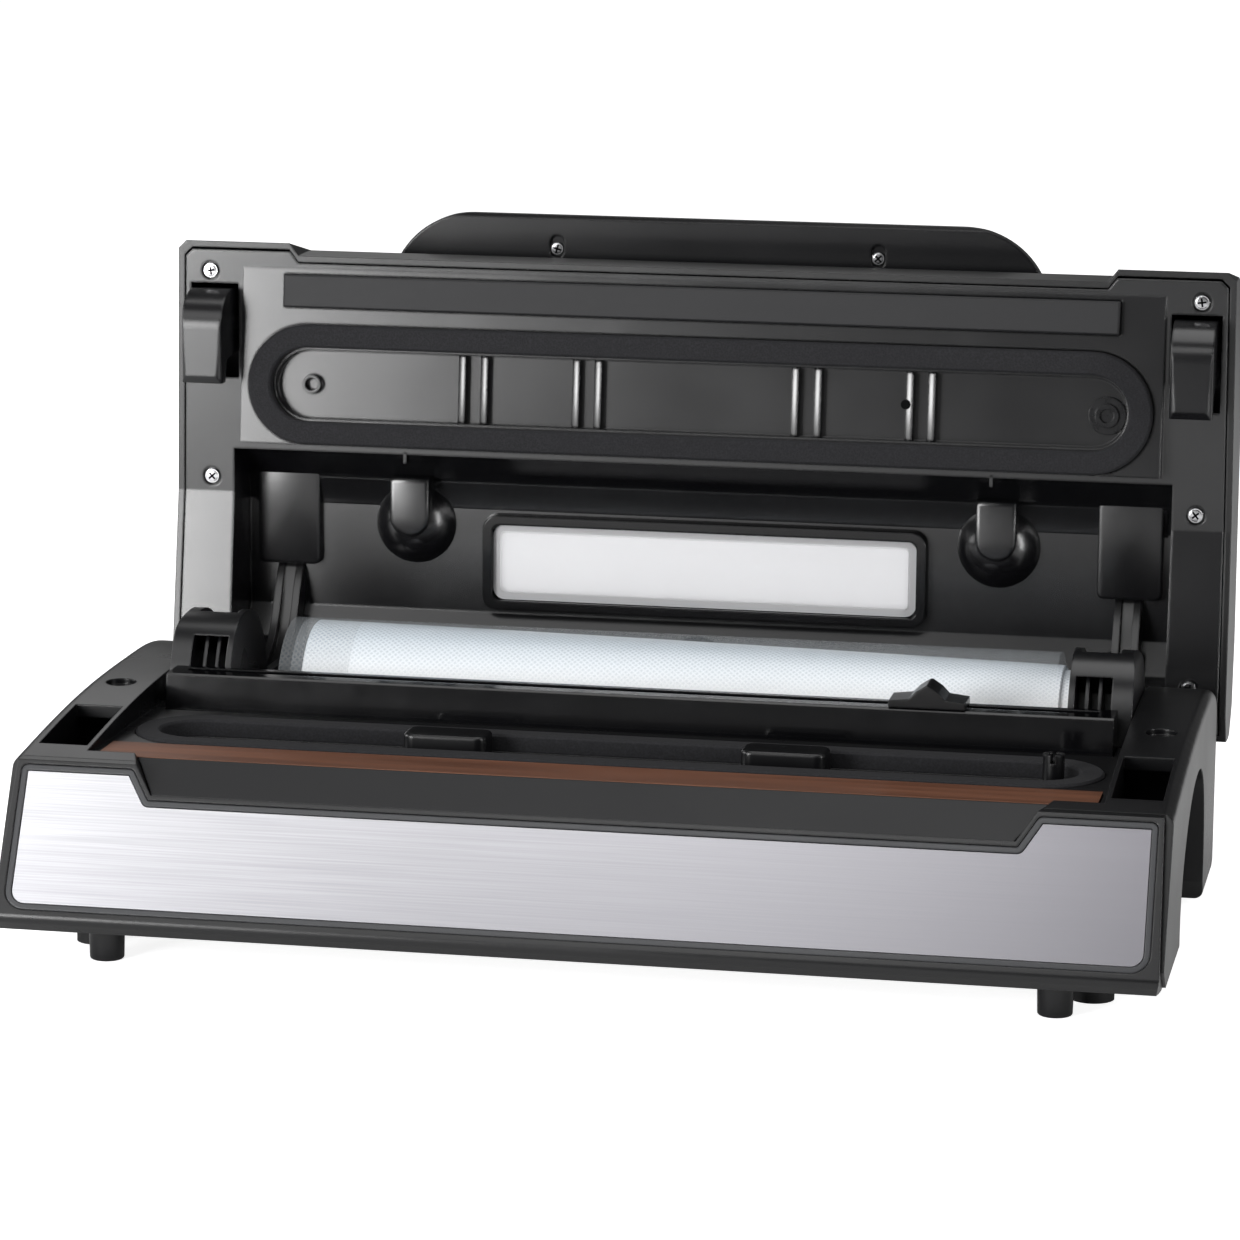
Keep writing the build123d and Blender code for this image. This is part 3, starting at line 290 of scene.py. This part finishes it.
def stackedFilm(name, radius):
    # film wound many layers deep: milky white, with painted blue-grey shade on the side that is up at rest,
    # deepest in the embossing's hollows there; the painted shade is fixed to the roll and turns with it
    material = newMaterial(name)
    along, girth, rise = rollPoint(material, radius)
    waffle = waffleOver(material, along, girth)
    # painted shade: blue-grey from 10 to 24 mm above the roll's axis
    paintedTopShade = ranged(material, rise, 0.0, 1.0, 10 * mm, 24 * mm)
    body = blended(material, paintedTopShade, linear("#fdfdfd"), linear("#ccd4db"))
    hollow = worked(material, "SUBTRACT", 1.0, waffle)
    # painted shade in the embossing's hollows, on the shaded top only
    paintedHollowShade = worked(material, "MULTIPLY", ranged(material, paintedTopShade, 0.0, 0.6), hollow)
    return finishShader(
        material,
        {
            "Base Color": blended(material, paintedHollowShade, body, linear("#8896a1")),
            "Roughness": 0.3,
            "IOR": 1.5,
            "Normal": bumped(material, waffle, 0.05),
        },
    )


def singleFilm(name, radius, cover):
    # one loose layer of the same film: nearly clear, so the edge of the roll shows through it; painted
    # blue-grey shade lies in its embossing's hollows
    material = newMaterial(name)
    along, girth = rollPoint(material, radius)[:2]
    waffle = waffleOver(material, along, girth)
    return finishShader(
        material,
        {
            # painted shade: the hollows are blue-grey, the ridges nearly white
            "Base Color": blended(material, waffle, linear("#c3ced7"), linear("#f6fafc")),
            "Roughness": 0.24,
            "IOR": 1.5,
            "Alpha": cover,
            "Normal": bumped(material, waffle, 0.06),
        },
    )


def frostedPane(name):
    # polycarbonate with a frosted face: clear but milky, so it takes the brightness behind it
    material = newMaterial(name)
    grit = noiseOver(material, objectPoint(material), 0.6)
    return finishShader(
        material,
        {
            "Base Color": linear("#e8e8ea"),
            "Roughness": ranged(material, grit, 0.34, 0.46),
            "IOR": 1.58,
            "Transmission Weight": 0.5,
            "Normal": bumped(material, grit, 0.01),
        },
    )


def plainMetal(name, colour, roughness, stretch=(1, 1, 1), grain=0.4):
    # metal with the marks of how it was drawn, ground or plated
    material = newMaterial(name)
    marks = noiseOver(material, objectPoint(material, stretch), grain, 3.0)
    return finishShader(
        material,
        {
            "Base Color": blended(material, marks, linear(colour), linear("#9a9a9c")),
            "Metallic": 1.0,
            "Roughness": ranged(material, marks, roughness * 0.7, roughness * 1.3),
            "Normal": bumped(material, marks, 0.004, 0.2),
        },
    )


def softRubber(name, colour, roughness=0.62):
    # moulded rubber: matt, slightly dusty
    material = newMaterial(name)
    point = objectPoint(material)
    dust = noiseOver(material, point, 3.0, 4.0)
    tone = blended(material, ranged(material, dust, 0.0, 0.25), linear(colour), linear("#3a3a3c"))
    return finishShader(
        material,
        {
            "Base Color": tone,
            "Roughness": ranged(material, dust, roughness - 0.05, roughness + 0.1),
            "IOR": 1.45,
            "Normal": bumped(material, noiseOver(material, point, 0.4), 0.01, 0.5),
        },
    )


housingAbs = mouldedAbs("mouldedAbsHousing", "#08080a", 0.28, ior=1.5)
lidAbs = mouldedAbs("mouldedAbsLid", "#080809", 0.31, ior=1.6)
linerAbs = mouldedAbs("mouldedAbsLiner", "#0a0a0c", 0.24, grain=0.6, edge=1.2, ior=1.68)
hookAbs = mouldedAbs("mouldedAbsHooks", "#0b0b0d", 0.24, depth=0.008, edge=1.2)
handleAbs = mouldedAbs("mouldedAbsHandle", "#08080a", 0.22, depth=0.008, edge=1.2, ior=1.45)
lipAbs = mouldedAbs("mouldedAbsLip", "#0e0e10", 0.5, grain=0.4, ior=1.46)
trimAbs = mouldedAbs("mouldedAbsTrim", "#2c2d30", 0.3, grain=0.3, depth=0.004)
keyAbs = mouldedAbs("mouldedAbsKeys", "#3b3c40", 0.42, grain=0.35)
glossAbs = polishedAbs("polishedAbs", "#050506")
frameAbs = polishedAbs("polishedAbsFrame", "#050506", 0.14, edge=1.0)
# painted shade: a near-black material that stands in for the shade inside recesses
recessPaintedShade = polishedAbs("shadowedRecess", "#020202", 0.5, ior=1.12)  # a deep recess gives little back
stainless = brushedStainless("brushedStainlessSheet", sheetPlan)
foam = closedCellFoam("evaFoam")
tape = ptfeGlassCloth("ptfeGlassCloth")
paneClear = frostedPane("frostedPolycarbonate")
chromed = plainMetal("chromePlatedSteel", "#e2e2e4", 0.2, grain=1.2)
drawnSteel = plainMetal("drawnSteelBar", "#b4b4b6", 0.3, (0.05, 1, 1))
bladeSteel = plainMetal("groundBladeSteel", "#c8c8ca", 0.22, (1, 0.1, 1))
ribbonMetal = plainMetal("nickelChromeRibbon", "#8d8a84", 0.34, (0.05, 1, 1))
coreIron = plainMetal("laminatedCoreIron", "#5f5f62", 0.5, (1, 0.03, 1))
canSteel = plainMetal("zincPlatedCan", "#a7a9ab", 0.34)
copperWire = plainMetal("enamelledCopperWire", "#b06a34", 0.36, (1, 0.05, 1), 0.6)
stripSilicone = softRubber("mouldedSilicone", "#141416", 0.6)
cupSilicone = softRubber("polishedMouldSilicone", "#0c0c0e", 0.26)
footRubber = softRubber("mouldedFootRubber", "#0e0e0f")
hoseSilicone = softRubber("extrudedHoseSilicone", "#c9c8c2", 0.4)
boardLaminate = mouldedAbs("glassEpoxyLaminate", "#1c4a2b", 0.4, grain=0.8, depth=0.004, edge=0.1)

finishes = {
    housingAbs: "base_housing bottom_cover front_bezel element_carrier vacuum_nozzle bag_stops "
    "roll_bracket_left roll_bracket_right cutter_slider latch_switches release_valve board_parts",
    lidAbs: "lid_shell lid_arm_left lid_arm_right",
    linerAbs: "lid_liner",
    hookAbs: "latch_hook_left latch_hook_right",
    handleAbs: "handle_arms handle_grip front_legs",
    lipAbs: "front_lip",
    trimAbs: "panel_trim pump_head",
    keyAbs: "vacuum_button seal_button pulse_button mode_button stop_button",
    glossAbs: "cutter_rail handle_cover control_strip",
    frameAbs: "window_frame",
    stainless: "front_panel",
    foam: "deck_gasket lid_gasket",
    tape: "sealing_tape",
    paneClear: "window_lens",
    chromed: "lid_screws handle_screws",
    drawnSteel: "hinge_pins latch_shaft bottom_screws",
    bladeSteel: "cutter_blade",
    ribbonMetal: "heating_ribbon",
    coreIron: "transformer_core",
    canSteel: "pump_motor",
    copperWire: "transformer_coil",
    stripSilicone: "press_strip",
    cupSilicone: "vacuum_cup",
    footRubber: "rubber_feet cord_gland",
    hoseSilicone: "pump_hose chamber_hose",
    boardLaminate: "keypad_board control_board",
}


def dress(piece, material):
    piece.data.materials.clear()
    piece.data.materials.append(material)


for material, names in finishes.items():
    for name in names.split():
        dress(nodes[name], material)
print("finishes set; nodes without one:", sorted(set(nodes) - set(" ".join(finishes.values()).split())))


def addPiece(name, mesh, material, body, sharp=None):
    # turns a bmesh into an object that rides on a body; sharp in degrees
    bmesh.ops.recalc_face_normals(mesh, faces=mesh.faces)
    data = bpy.data.meshes.new(name)
    mesh.to_mesh(data)
    mesh.free()
    piece = bpy.data.objects.new(name, data)
    bpy.context.scene.collection.objects.link(piece)
    dress(piece, material)
    if sharp is not None:
        data.shade_smooth()
        data.set_sharp_from_angle(angle=radians(sharp))
    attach(piece, body)
    return piece


def spinProfile(mesh, points, centre, axis, steps):
    # turns an outline of points about an axis
    verts = [mesh.verts.new(p) for p in points]
    edges = [mesh.edges.new(pair) for pair in zip(verts, verts[1:])]
    whole = {"angle": 2 * pi, "steps": steps, "use_merge": True, "dvec": (0, 0, 0)}
    bmesh.ops.spin(mesh, geom=verts + edges, cent=centre, axis=axis, **whole)
    bmesh.ops.remove_doubles(mesh, verts=mesh.verts, dist=tiny)


def addBlock(mesh, size, centre=(0, 0, 0)):
    # block with its size and middle in mm; gives its corners
    made = bmesh.ops.create_cube(mesh, size=1.0)["verts"]
    bmesh.ops.scale(mesh, verts=made, vec=Vector(size) * mm)
    bmesh.ops.translate(mesh, verts=made, vec=Vector(centre) * mm)
    return made


def easeEdges(mesh, edges, radius, segments):
    # radius in mm
    shape = {"segments": segments, "affect": "EDGES", "profile": 0.5, "material": -1}
    bmesh.ops.bevel(mesh, geom=edges, offset=radius * mm, **shape)


def depthEdges(mesh):
    # edges of a block that run from front to back
    return [e for e in mesh.edges if abs((e.verts[0].co - e.verts[1].co).y) > tiny]


def frontRim(mesh):
    # edges of the face that is nearest the front
    front = min(v.co.y for v in mesh.verts)
    return [e for e in mesh.edges if all(abs(v.co.y - front) < tiny for v in e.verts)]


rollPlan = {  # mm, along the roll from the middle of the machine
    "bore": 9.0,
    "left": -129.5,
    "right": 147.6,
    "leftRadius": 26.6,
    "rightRadius": 22.6,  # the roll has slackened towards this end
    "slackSteps": 8,
    "slackBend": 1.3,  # 1 would be a straight taper
    "tailRight": 151.0,
    "tailRadius": 20.9,
    "endDip": 0.3,  # how far the end faces dip in at their inner edges
    "dish": (0.8, 4.0),  # the tail's end face is this hollow, from this far inside its rim
    "coreRim": 1.0,
    "ease": 0.4,
    "leftEase": 0.5,
    "facets": 96,
    "sheets": ((-138.0, 146.0, 27.4), (-133.6, -112.0, 26.95)),  # loose layers: left, right, radius
    "sheetWall": 0.15,
    "sheetCover": 0.06,  # share of the light that one wall stops
}


def rollOutline(plan):
    # half section of the wound film, along the roll and out from its axis
    bore, left, right = plan["bore"], plan["left"], plan["right"]
    leftRadius, rightRadius = plan["leftRadius"], plan["rightRadius"]
    tail, tailRadius = plan["tailRight"], plan["tailRadius"]
    ease, leftEase, coreRim = plan["ease"], plan["leftEase"], plan["coreRim"]
    hollow, hollowRim = plan["dish"]
    outline = [
        (left + ease, bore),
        (left, bore + coreRim),
        (left, leftRadius - leftEase),
        (left + leftEase, leftRadius),
    ]
    for step in range(1, plan["slackSteps"]):
        share = step / plan["slackSteps"]
        slack = leftRadius + (rightRadius - leftRadius) * share ** plan["slackBend"]
        outline.append((left + (right - left) * share, slack))
    return outline + [
        (right - ease, rightRadius),
        (right, rightRadius - ease),
        (right - plan["endDip"], tailRadius),
        (tail - ease, tailRadius),
        (tail, tailRadius - ease),
        (tail - hollow, tailRadius - hollowRim),
        (tail - plan["endDip"], bore + coreRim),
        (tail - hollow, bore),
        (left + ease, bore),
    ]


def makeRoll(plan):
    low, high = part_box("bag_roll")
    centre = Vector((0, (low.y + high.y) / 2, (low.z + high.z) / 2))
    mesh = bmesh.new()
    line = [Vector((x, 0, r)) * mm + centre for x, r in rollOutline(plan)]
    spinProfile(mesh, line, centre, (1, 0, 0), plan["facets"])
    milky = stackedFilm("stackedBagFilm", plan["leftRadius"])
    wound = addPiece("filmRoll", mesh, milky, "roll", sharp=35)
    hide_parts("bag_roll")
    sheer = singleFilm("singleBagFilm", plan["leftRadius"], plan["sheetCover"])
    for number, (start, end, radius) in enumerate(plan["sheets"]):
        mesh = bmesh.new()
        line = [Vector((x, 0, radius)) * mm + centre for x in (start, end)]
        spinProfile(mesh, line, centre, (1, 0, 0), plan["facets"])
        bmesh.ops.recalc_face_normals(mesh, faces=mesh.faces)
        bmesh.ops.solidify(mesh, geom=mesh.faces[:], thickness=plan["sheetWall"] * mm)
        addPiece(f"filmSheet{number}", mesh, sheer, "roll", sharp=60)


makeRoll(rollPlan)
print("film roll made")

screwPlan = {  # mm
    "height": 1.3,
    "rim": 0.5,  # share of the height that stands straight
    "flat": 0.68,  # share of the radius
    "domeSteps": 5,
    "facets": 32,
    "seat": 1.2,  # behind the front of the screw's node
    "slotLength": 3.3,
    "slotWidth": 0.7,
    "slotDepth": 0.6,
    "slotProud": 0.04,
    "firstTurn": 17,  # degrees
    "nextTurn": 31,  # degrees from each screw to the next
}


def crossHead(mesh, centre, radius, plan):
    # pan head that faces -Y, domed round a flat top
    height, rim, steps = plan["height"], plan["rim"], plan["domeSteps"]
    flat = radius * plan["flat"]
    outline = [(0.0, 0.0), (radius, 0.0), (radius, height * rim)]
    for step in range(1, steps + 1):
        turn = step / steps * pi / 2
        outline.append((flat + (radius - flat) * cos(turn), height * (rim + (1 - rim) * sin(turn))))
    outline.append((0.0, height))
    line = [centre + Vector((r, -h, 0)) * mm for r, h in outline]
    spinProfile(mesh, line, centre, (0, 1, 0), plan["facets"])


def recessBars(mesh, centre, plan, turned):
    # two dark crossed bars let into the head: painted shade for the cross recess
    for quarter in (0, 1):
        made = addBlock(mesh, (plan["slotLength"], plan["slotDepth"], plan["slotWidth"]))
        turn = Matrix.Rotation(radians(turned) + quarter * pi / 2, 3, "Y")
        bmesh.ops.rotate(mesh, verts=made, matrix=turn)
        bmesh.ops.translate(mesh, verts=made, vec=centre)


def nodeIslands(name):
    # box of each separate solid in a node
    mesh = bmesh.new()
    mesh.from_mesh(nodes[name].data)
    bmesh.ops.remove_doubles(mesh, verts=mesh.verts, dist=tiny)
    left = set(mesh.verts)
    boxes = []
    while left:
        group = [left.pop()]
        reach = group[:]
        while reach:
            for edge in reach.pop().link_edges:
                for vert in edge.verts:
                    if vert in left:
                        left.discard(vert)
                        group.append(vert)
                        reach.append(vert)
        low = Vector([min(v.co[i] for v in group) for i in range(3)])
        high = Vector([max(v.co[i] for v in group) for i in range(3)])
        boxes.append((low, high))
    mesh.free()
    return sorted(boxes, key=lambda pair: (round(pair[0].x, 4), pair[0].z))


def makeScrews(plan):
    # the heads of a group are one piece, and their crosses another
    for name, body in (("lid_screws", "lid"), ("handle_screws", "handle")):
        heads = bmesh.new()
        bars = bmesh.new()
        for index, (low, high) in enumerate(nodeIslands(name)):
            radius = (high.x - low.x) / 2 / mm
            seat = Vector(((low.x + high.x) / 2, low.y + plan["seat"] * mm, (low.z + high.z) / 2))
            crossHead(heads, seat, radius, plan)
            rise = plan["height"] - plan["slotDepth"] / 2 + plan["slotProud"]
            turned = plan["firstTurn"] + plan["nextTurn"] * index
            recessBars(bars, seat - Vector((0, rise, 0)) * mm, plan, turned)
        word = name.split("_")[0] + "ScrewHeads"
        addPiece(word, heads, chromed, body, sharp=30)
        addPiece(word + "Recess", bars, recessPaintedShade, body)


makeScrews(screwPlan)
print("screws made")

panePlan = {"border": 2.6, "step": 0.55, "slope": 0.5, "corner": 4.4}  # mm


def makePane(plan):
    # the window pane with the raised middle that its frame leaves showing
    low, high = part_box("window_lens")
    mesh = bmesh.new()
    addBlock(mesh, (high - low) / mm, (high + low) / 2 / mm)
    easeEdges(mesh, depthEdges(mesh), plan["corner"], 6)
    front = min(mesh.faces, key=lambda face: face.calc_center_median().y)
    bmesh.ops.inset_region(mesh, faces=[front], thickness=plan["border"] * mm, depth=0)
    bmesh.ops.inset_region(mesh, faces=[front], thickness=plan["slope"] * mm, depth=plan["step"] * mm)
    pane = addPiece("windowPane", mesh, paneClear, "lid", sharp=30)
    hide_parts("window_lens")


makePane(panePlan)
print("window pane made")

cavityPlan = {  # mm, places in the lid's roll cavity
    "wall": 119.5,  # y of its back wall
    "root": 0.6,  # how far the forms reach into the wall
    "bend": (  # y and z where the wall bends forward at its top
        (119.44, 118.1),
        (119.3, 119.4),
        (119.0, 120.9),
        (118.5, 122.8),
        (117.85, 125),
        (117.1, 127.2),
        (116.4, 129.2),
    ),
    "bendHalf": 176.0,
    "bendThick": 0.3,
    "domeX": 112.6,
    "domeZ": 112.0,
    "domeRadius": 16.5,
    "domeSunk": 4.8,  # centre behind the wall
    "thumbFront": 106.7,
    "thumbHalf": 7.7,
    "thumbLow": 115.8,
    "thumbTop": 131.0,
    "thumbRoot": 0.5,
    "thumbSoft": 1.6,
    "plateX": 162.3,
    "plateZ": 114.7,
    "plateSize": (24.4, 40.8),
    "plateFront": 116.0,
    "plateCorner": 2.5,
    "plateSoft": 0.9,
    "neckSize": (10.0, 9.0),
    "neckSunk": 0.4,  # its face lies behind the plate's
    "neckLap": 2.0,
    "neckCorner": 1.5,
    "neckSoft": 0.8,
}


def makeBend(plan):
    # the rounded bend at the top of the back wall
    mesh = bmesh.new()
    verts = [mesh.verts.new(Vector((-plan["bendHalf"], y, z)) * mm) for y, z in plan["bend"]]
    edges = [mesh.edges.new(pair) for pair in zip(verts, verts[1:])]
    made = bmesh.ops.extrude_edge_only(mesh, edges=edges)["geom"]
    far = [v for v in made if isinstance(v, bmesh.types.BMVert)]
    bmesh.ops.translate(mesh, verts=far, vec=Vector((2 * plan["bendHalf"], 0, 0)) * mm)
    bmesh.ops.recalc_face_normals(mesh, faces=mesh.faces)
    bmesh.ops.solidify(mesh, geom=mesh.faces[:], thickness=plan["bendThick"] * mm)
    addPiece("cavityBend", mesh, linerAbs, "lid", sharp=40)


def makeDome(plan, side, word):
    # part of a ball that stands out of the back wall
    mesh = bmesh.new()
    middle = Vector((side * plan["domeX"], plan["wall"] + plan["domeSunk"], plan["domeZ"])) * mm
    bmesh.ops.create_uvsphere(mesh, u_segments=48, v_segments=32, radius=plan["domeRadius"] * mm)
    bmesh.ops.translate(mesh, verts=mesh.verts, vec=middle)
    everything = mesh.verts[:] + mesh.edges[:] + mesh.faces[:]
    behind = {"plane_co": (0, (plan["wall"] + plan["root"]) * mm, 0), "plane_no": (0, 1, 0)}
    cut = bmesh.ops.bisect_plane(mesh, geom=everything, clear_outer=True, **behind)["geom_cut"]
    bmesh.ops.holes_fill(mesh, edges=[e for e in cut if isinstance(e, bmesh.types.BMEdge)], sides=0)
    addPiece("cavityDome" + word, mesh, linerAbs, "lid", sharp=35)


def makeThumb(plan, side, word):
    # flat-faced form with a round lower end, in front of the dome
    half, low, high = plan["thumbHalf"], plan["thumbLow"], plan["thumbTop"]
    steps = 16
    outline = [(-half, high), (half, high)]
    for step in range(steps + 1):
        turn = -pi * step / steps
        outline.append((half * cos(turn), low + half * sin(turn)))
    mesh = bmesh.new()
    places = [Vector((side * plan["domeX"] + x, plan["thumbFront"], z)) * mm for x, z in outline]
    face = mesh.faces.new([mesh.verts.new(place) for place in places])
    made = bmesh.ops.extrude_face_region(mesh, geom=[face])["geom"]
    back = [v for v in made if isinstance(v, bmesh.types.BMVert)]
    depth = plan["wall"] + plan["thumbRoot"] - plan["thumbFront"]
    bmesh.ops.translate(mesh, verts=back, vec=Vector((0, depth, 0)) * mm)
    easeEdges(mesh, frontRim(mesh), plan["thumbSoft"], 4)
    addPiece("cavityThumb" + word, mesh, linerAbs, "lid", sharp=50)


def roundedPlate(name, centre, size, corner, soft):
    # block with its upright corners rounded and its front edges eased, all in mm
    mesh = bmesh.new()
    addBlock(mesh, size, centre)
    easeEdges(mesh, depthEdges(mesh), corner, 5)
    easeEdges(mesh, frontRim(mesh), soft, 3)
    addPiece(name, mesh, linerAbs, "lid", sharp=50)


def makeArmPlate(plan, side, word):
    # the plate that a lid arm is fixed to, and the neck above it
    x, z = side * plan["plateX"], plan["plateZ"]
    wide, tall = plan["plateSize"]
    thick = plan["wall"] + plan["root"] - plan["plateFront"]
    y = plan["plateFront"] + thick / 2
    roundedPlate("armPlate" + word, (x, y, z), (wide, thick, tall), plan["plateCorner"], plan["plateSoft"])
    neckWide, neckTall = plan["neckSize"]
    neckPlace = (x, y + plan["neckSunk"] / 2, z + tall / 2 + neckTall / 2 - plan["neckLap"])
    neckSize = (neckWide, thick - plan["neckSunk"], neckTall)
    roundedPlate("armPlateNeck" + word, neckPlace, neckSize, plan["neckCorner"], plan["neckSoft"])


makeBend(cavityPlan)
for side, word in ((-1, "Left"), (1, "Right")):
    makeDome(cavityPlan, side, word)
    makeThumb(cavityPlan, side, word)
    makeArmPlate(cavityPlan, side, word)

notchPlan = {  # mm, the finger notch behind the roll, drawn as a thin disc of painted shade
    "top": (-1.2, 115.9, 72.9),
    "radius": 8.0,
    "widen": 1.25,
    "rim": 0.97,  # share of the radius at its face
    "thick": 0.5,
    "lean": 56.9,  # degrees, the slope of the wall there
}


def makeNotch(plan):
    mesh = bmesh.new()
    radius = plan["radius"] * mm
    disc = {"segments": 40, "radius1": radius, "radius2": radius * plan["rim"], "depth": plan["thick"] * mm}
    made = bmesh.ops.create_cone(mesh, cap_ends=True, **disc)["verts"]
    bmesh.ops.scale(mesh, verts=made, vec=(plan["widen"], 1, 1))
    bmesh.ops.translate(mesh, verts=made, vec=(0, -radius, 0))
    bmesh.ops.rotate(mesh, verts=made, matrix=Matrix.Rotation(radians(plan["lean"]), 3, "X"))
    bmesh.ops.translate(mesh, verts=made, vec=Vector(plan["top"]) * mm)
    addPiece("fingerNotch", mesh, recessPaintedShade, "lid", sharp=40)


makeNotch(notchPlan)
print("cavity forms made")

trayPlan = {  # mm, the sunk tray inside the lid gasket
    "floor": (98.63, 167.44),  # y and z of the middle of its floor
    "lean": 5.5,  # degrees that the floor faces upwards
    "ribs": (-89.4, -80.9, -45.6, -37.2, 37.6, 46.2, 80.7, 88.9),
    "ribSize": (3.0, 25.8, 3.7),  # width, length, height
    "ribSunk": 0.2,
    "ribLean": 14,  # degrees that their tops turn to the left
    "ribSoft": 0.45,
    "ventPlace": (79.4, 0.6),  # x, and distance up the floor
    "ventSize": (1.8, 4.0),  # radius and height
    "ventSunk": 0.3,
    "ventSoft": 0.2,
}


def trayPlace(plan, x, up=0.0):
    # turns local x, up the floor and out of it into the lid's place
    lean = radians(plan["lean"])
    y, z = plan["floor"]
    along = Vector((0, sin(lean), cos(lean)))
    out = Vector((0, -cos(lean), sin(lean)))
    place = Matrix((Vector((1, 0, 0)), along, out)).transposed().to_4x4()
    place.translation = (Vector((x, y, z)) + along * up) * mm
    return place


def makeRib(plan, number, x):
    mesh = bmesh.new()
    height = plan["ribSize"][2]
    made = addBlock(mesh, plan["ribSize"], (0, 0, height / 2 - plan["ribSunk"]))
    top = [v for v in made if v.co.z > 0]
    for v in top:
        v.co.z += v.co.x * tan(radians(plan["ribLean"]))
    easeEdges(mesh, [e for e in mesh.edges if all(v in top for v in e.verts)], plan["ribSoft"], 3)
    bmesh.ops.transform(mesh, matrix=trayPlace(plan, x), verts=mesh.verts)
    addPiece(f"trayRib{number}", mesh, linerAbs, "lid", sharp=50)


# the vent hole, drawn as a dark plug of painted shade
def makeVent(plan):
    mesh = bmesh.new()
    radius, height = plan["ventSize"]
    sunk, soft = plan["ventSunk"], plan["ventSoft"]
    outline = [(0, -sunk), (radius, -sunk), (radius, height - soft), (radius - soft, height), (0, height)]
    spinProfile(mesh, [Vector((r, 0, h)) * mm for r, h in outline], (0, 0, 0), (0, 0, 1), 32)
    bmesh.ops.transform(mesh, matrix=trayPlace(plan, *plan["ventPlace"]), verts=mesh.verts)
    addPiece("trayVent", mesh, recessPaintedShade, "lid", sharp=40)


for number, x in enumerate(trayPlan["ribs"]):
    makeRib(trayPlan, number, x)
makeVent(trayPlan)
print("tray ribs made")

stagePlan = {
    "size": 14.0,  # m
    "tone": "#f4f4f4",
    "glowNear": 0.88,  # strength added for camera and clear rays, close to the machine and far from it
    "glowFar": 1.0,
    "fade": (0.45, 1.5),  # m from the middle
    "mirrored": 0.07,  # strength added for glossy rays
}


def makeStage(plan):
    mesh = bmesh.new()
    bmesh.ops.create_grid(mesh, x_segments=1, y_segments=1, size=plan["size"] / 2)
    data = bpy.data.meshes.new("studioFloor")
    mesh.to_mesh(data)
    mesh.free()
    floor = bpy.data.objects.new("studioFloor", data)
    bpy.context.scene.collection.objects.link(floor)
    material = newMaterial("palePaper")
    shade = addNode(material, "ShaderNodeBsdfDiffuse", {"Color": linear(plan["tone"])})
    rays = addNode(material, "ShaderNodeLightPath").outputs
    seen = worked(material, "MAXIMUM", rays["Is Camera Ray"], rays["Is Transmission Ray"])
    point = {0: objectPoint(material)}
    away = addNode(material, "ShaderNodeVectorMath", point, operation="LENGTH").outputs["Value"]
    bright = ranged(material, away, plan["glowNear"], plan["glowFar"], *plan["fade"])
    direct = worked(material, "MULTIPLY", seen, bright)
    mirrored = worked(material, "MULTIPLY", rays["Is Glossy Ray"], plan["mirrored"])
    strength = worked(material, "MAXIMUM", direct, mirrored)
    glow = addNode(material, "ShaderNodeEmission", {"Color": (1, 1, 1, 1), "Strength": strength})
    both = addNode(material, "ShaderNodeAddShader", {0: shade.outputs[0], 1: glow.outputs[0]})
    addNode(material, "ShaderNodeOutputMaterial", {"Surface": both.outputs[0]})
    dress(floor, material)


worldPlan = {  # strength
    "light": 0.04,
    "mirrored": 0.11,  # for glossy rays
    "seen": 1.0,  # for camera and clear rays
}


def makeWorld(plan):
    world = bpy.data.worlds.new("studioWorld")
    bpy.context.scene.world = world
    world.use_nodes = True
    world.node_tree.nodes.clear()
    rays = addNode(world, "ShaderNodeLightPath").outputs
    gloss = ranged(world, rays["Is Glossy Ray"], plan["light"], plan["mirrored"])
    seen = worked(world, "MAXIMUM", rays["Is Camera Ray"], rays["Is Transmission Ray"])
    strength = worked(world, "MAXIMUM", gloss, worked(world, "MULTIPLY", seen, plan["seen"]))
    back = addNode(world, "ShaderNodeBackground", {"Color": (1, 1, 1, 1), "Strength": strength})
    addNode(world, "ShaderNodeOutputWorld", {"Surface": back.outputs[0]})


lights = {  # place and aim in m, width and height in m, power in W
    "frontLeftSoftbox": ((-0.94, -1.45, 0.38), (-0.14, 0.0, 0.12), (0.62, 0.7), 27),
    "highLeftSoftbox": ((-0.6, -1.05, 1.25), (0.0, -0.1, 0.05), (1.3, 0.7), 4.8),
    "highFrontSoftbox": ((-0.1, -1.35, 1.35), (0.0, -0.1, 0.05), (0.5, 0.6), 2.0),
    "leftSoftbox": ((-1.7, 0.0, 0.7), (-0.1, 0.0, 0.1), (1.0, 0.9), 12),
    "topSoftbox": ((0.1, 0.1, 2.0), (0, 0, 0.1), (1.6, 1.2), 13),
    "rightStrip": ((1.5, -0.55, 0.5), (0.1, 0, 0.12), (0.14, 1.1), 10),
    "backSoftbox": ((-0.7, 1.7, 1.1), (0, 0.1, 0.15), (1.4, 0.9), 3.5),
}


def makeLights(plan):
    for name, (place, aim, size, power) in plan.items():
        data = bpy.data.lights.new(name, "AREA")
        data.shape = "RECTANGLE"
        data.size, data.size_y = size
        data.energy = power
        light = bpy.data.objects.new(name, data)
        bpy.context.scene.collection.objects.link(light)
        away = Vector(place) - Vector(aim)
        light.matrix_world = Matrix.Translation(place) @ away.to_track_quat("Z", "Y").to_matrix().to_4x4()


makeStage(stagePlan)
makeWorld(worldPlan)
makeLights(lights)
bpy.context.scene.view_settings.view_transform = "Standard"
print("stage and light set")
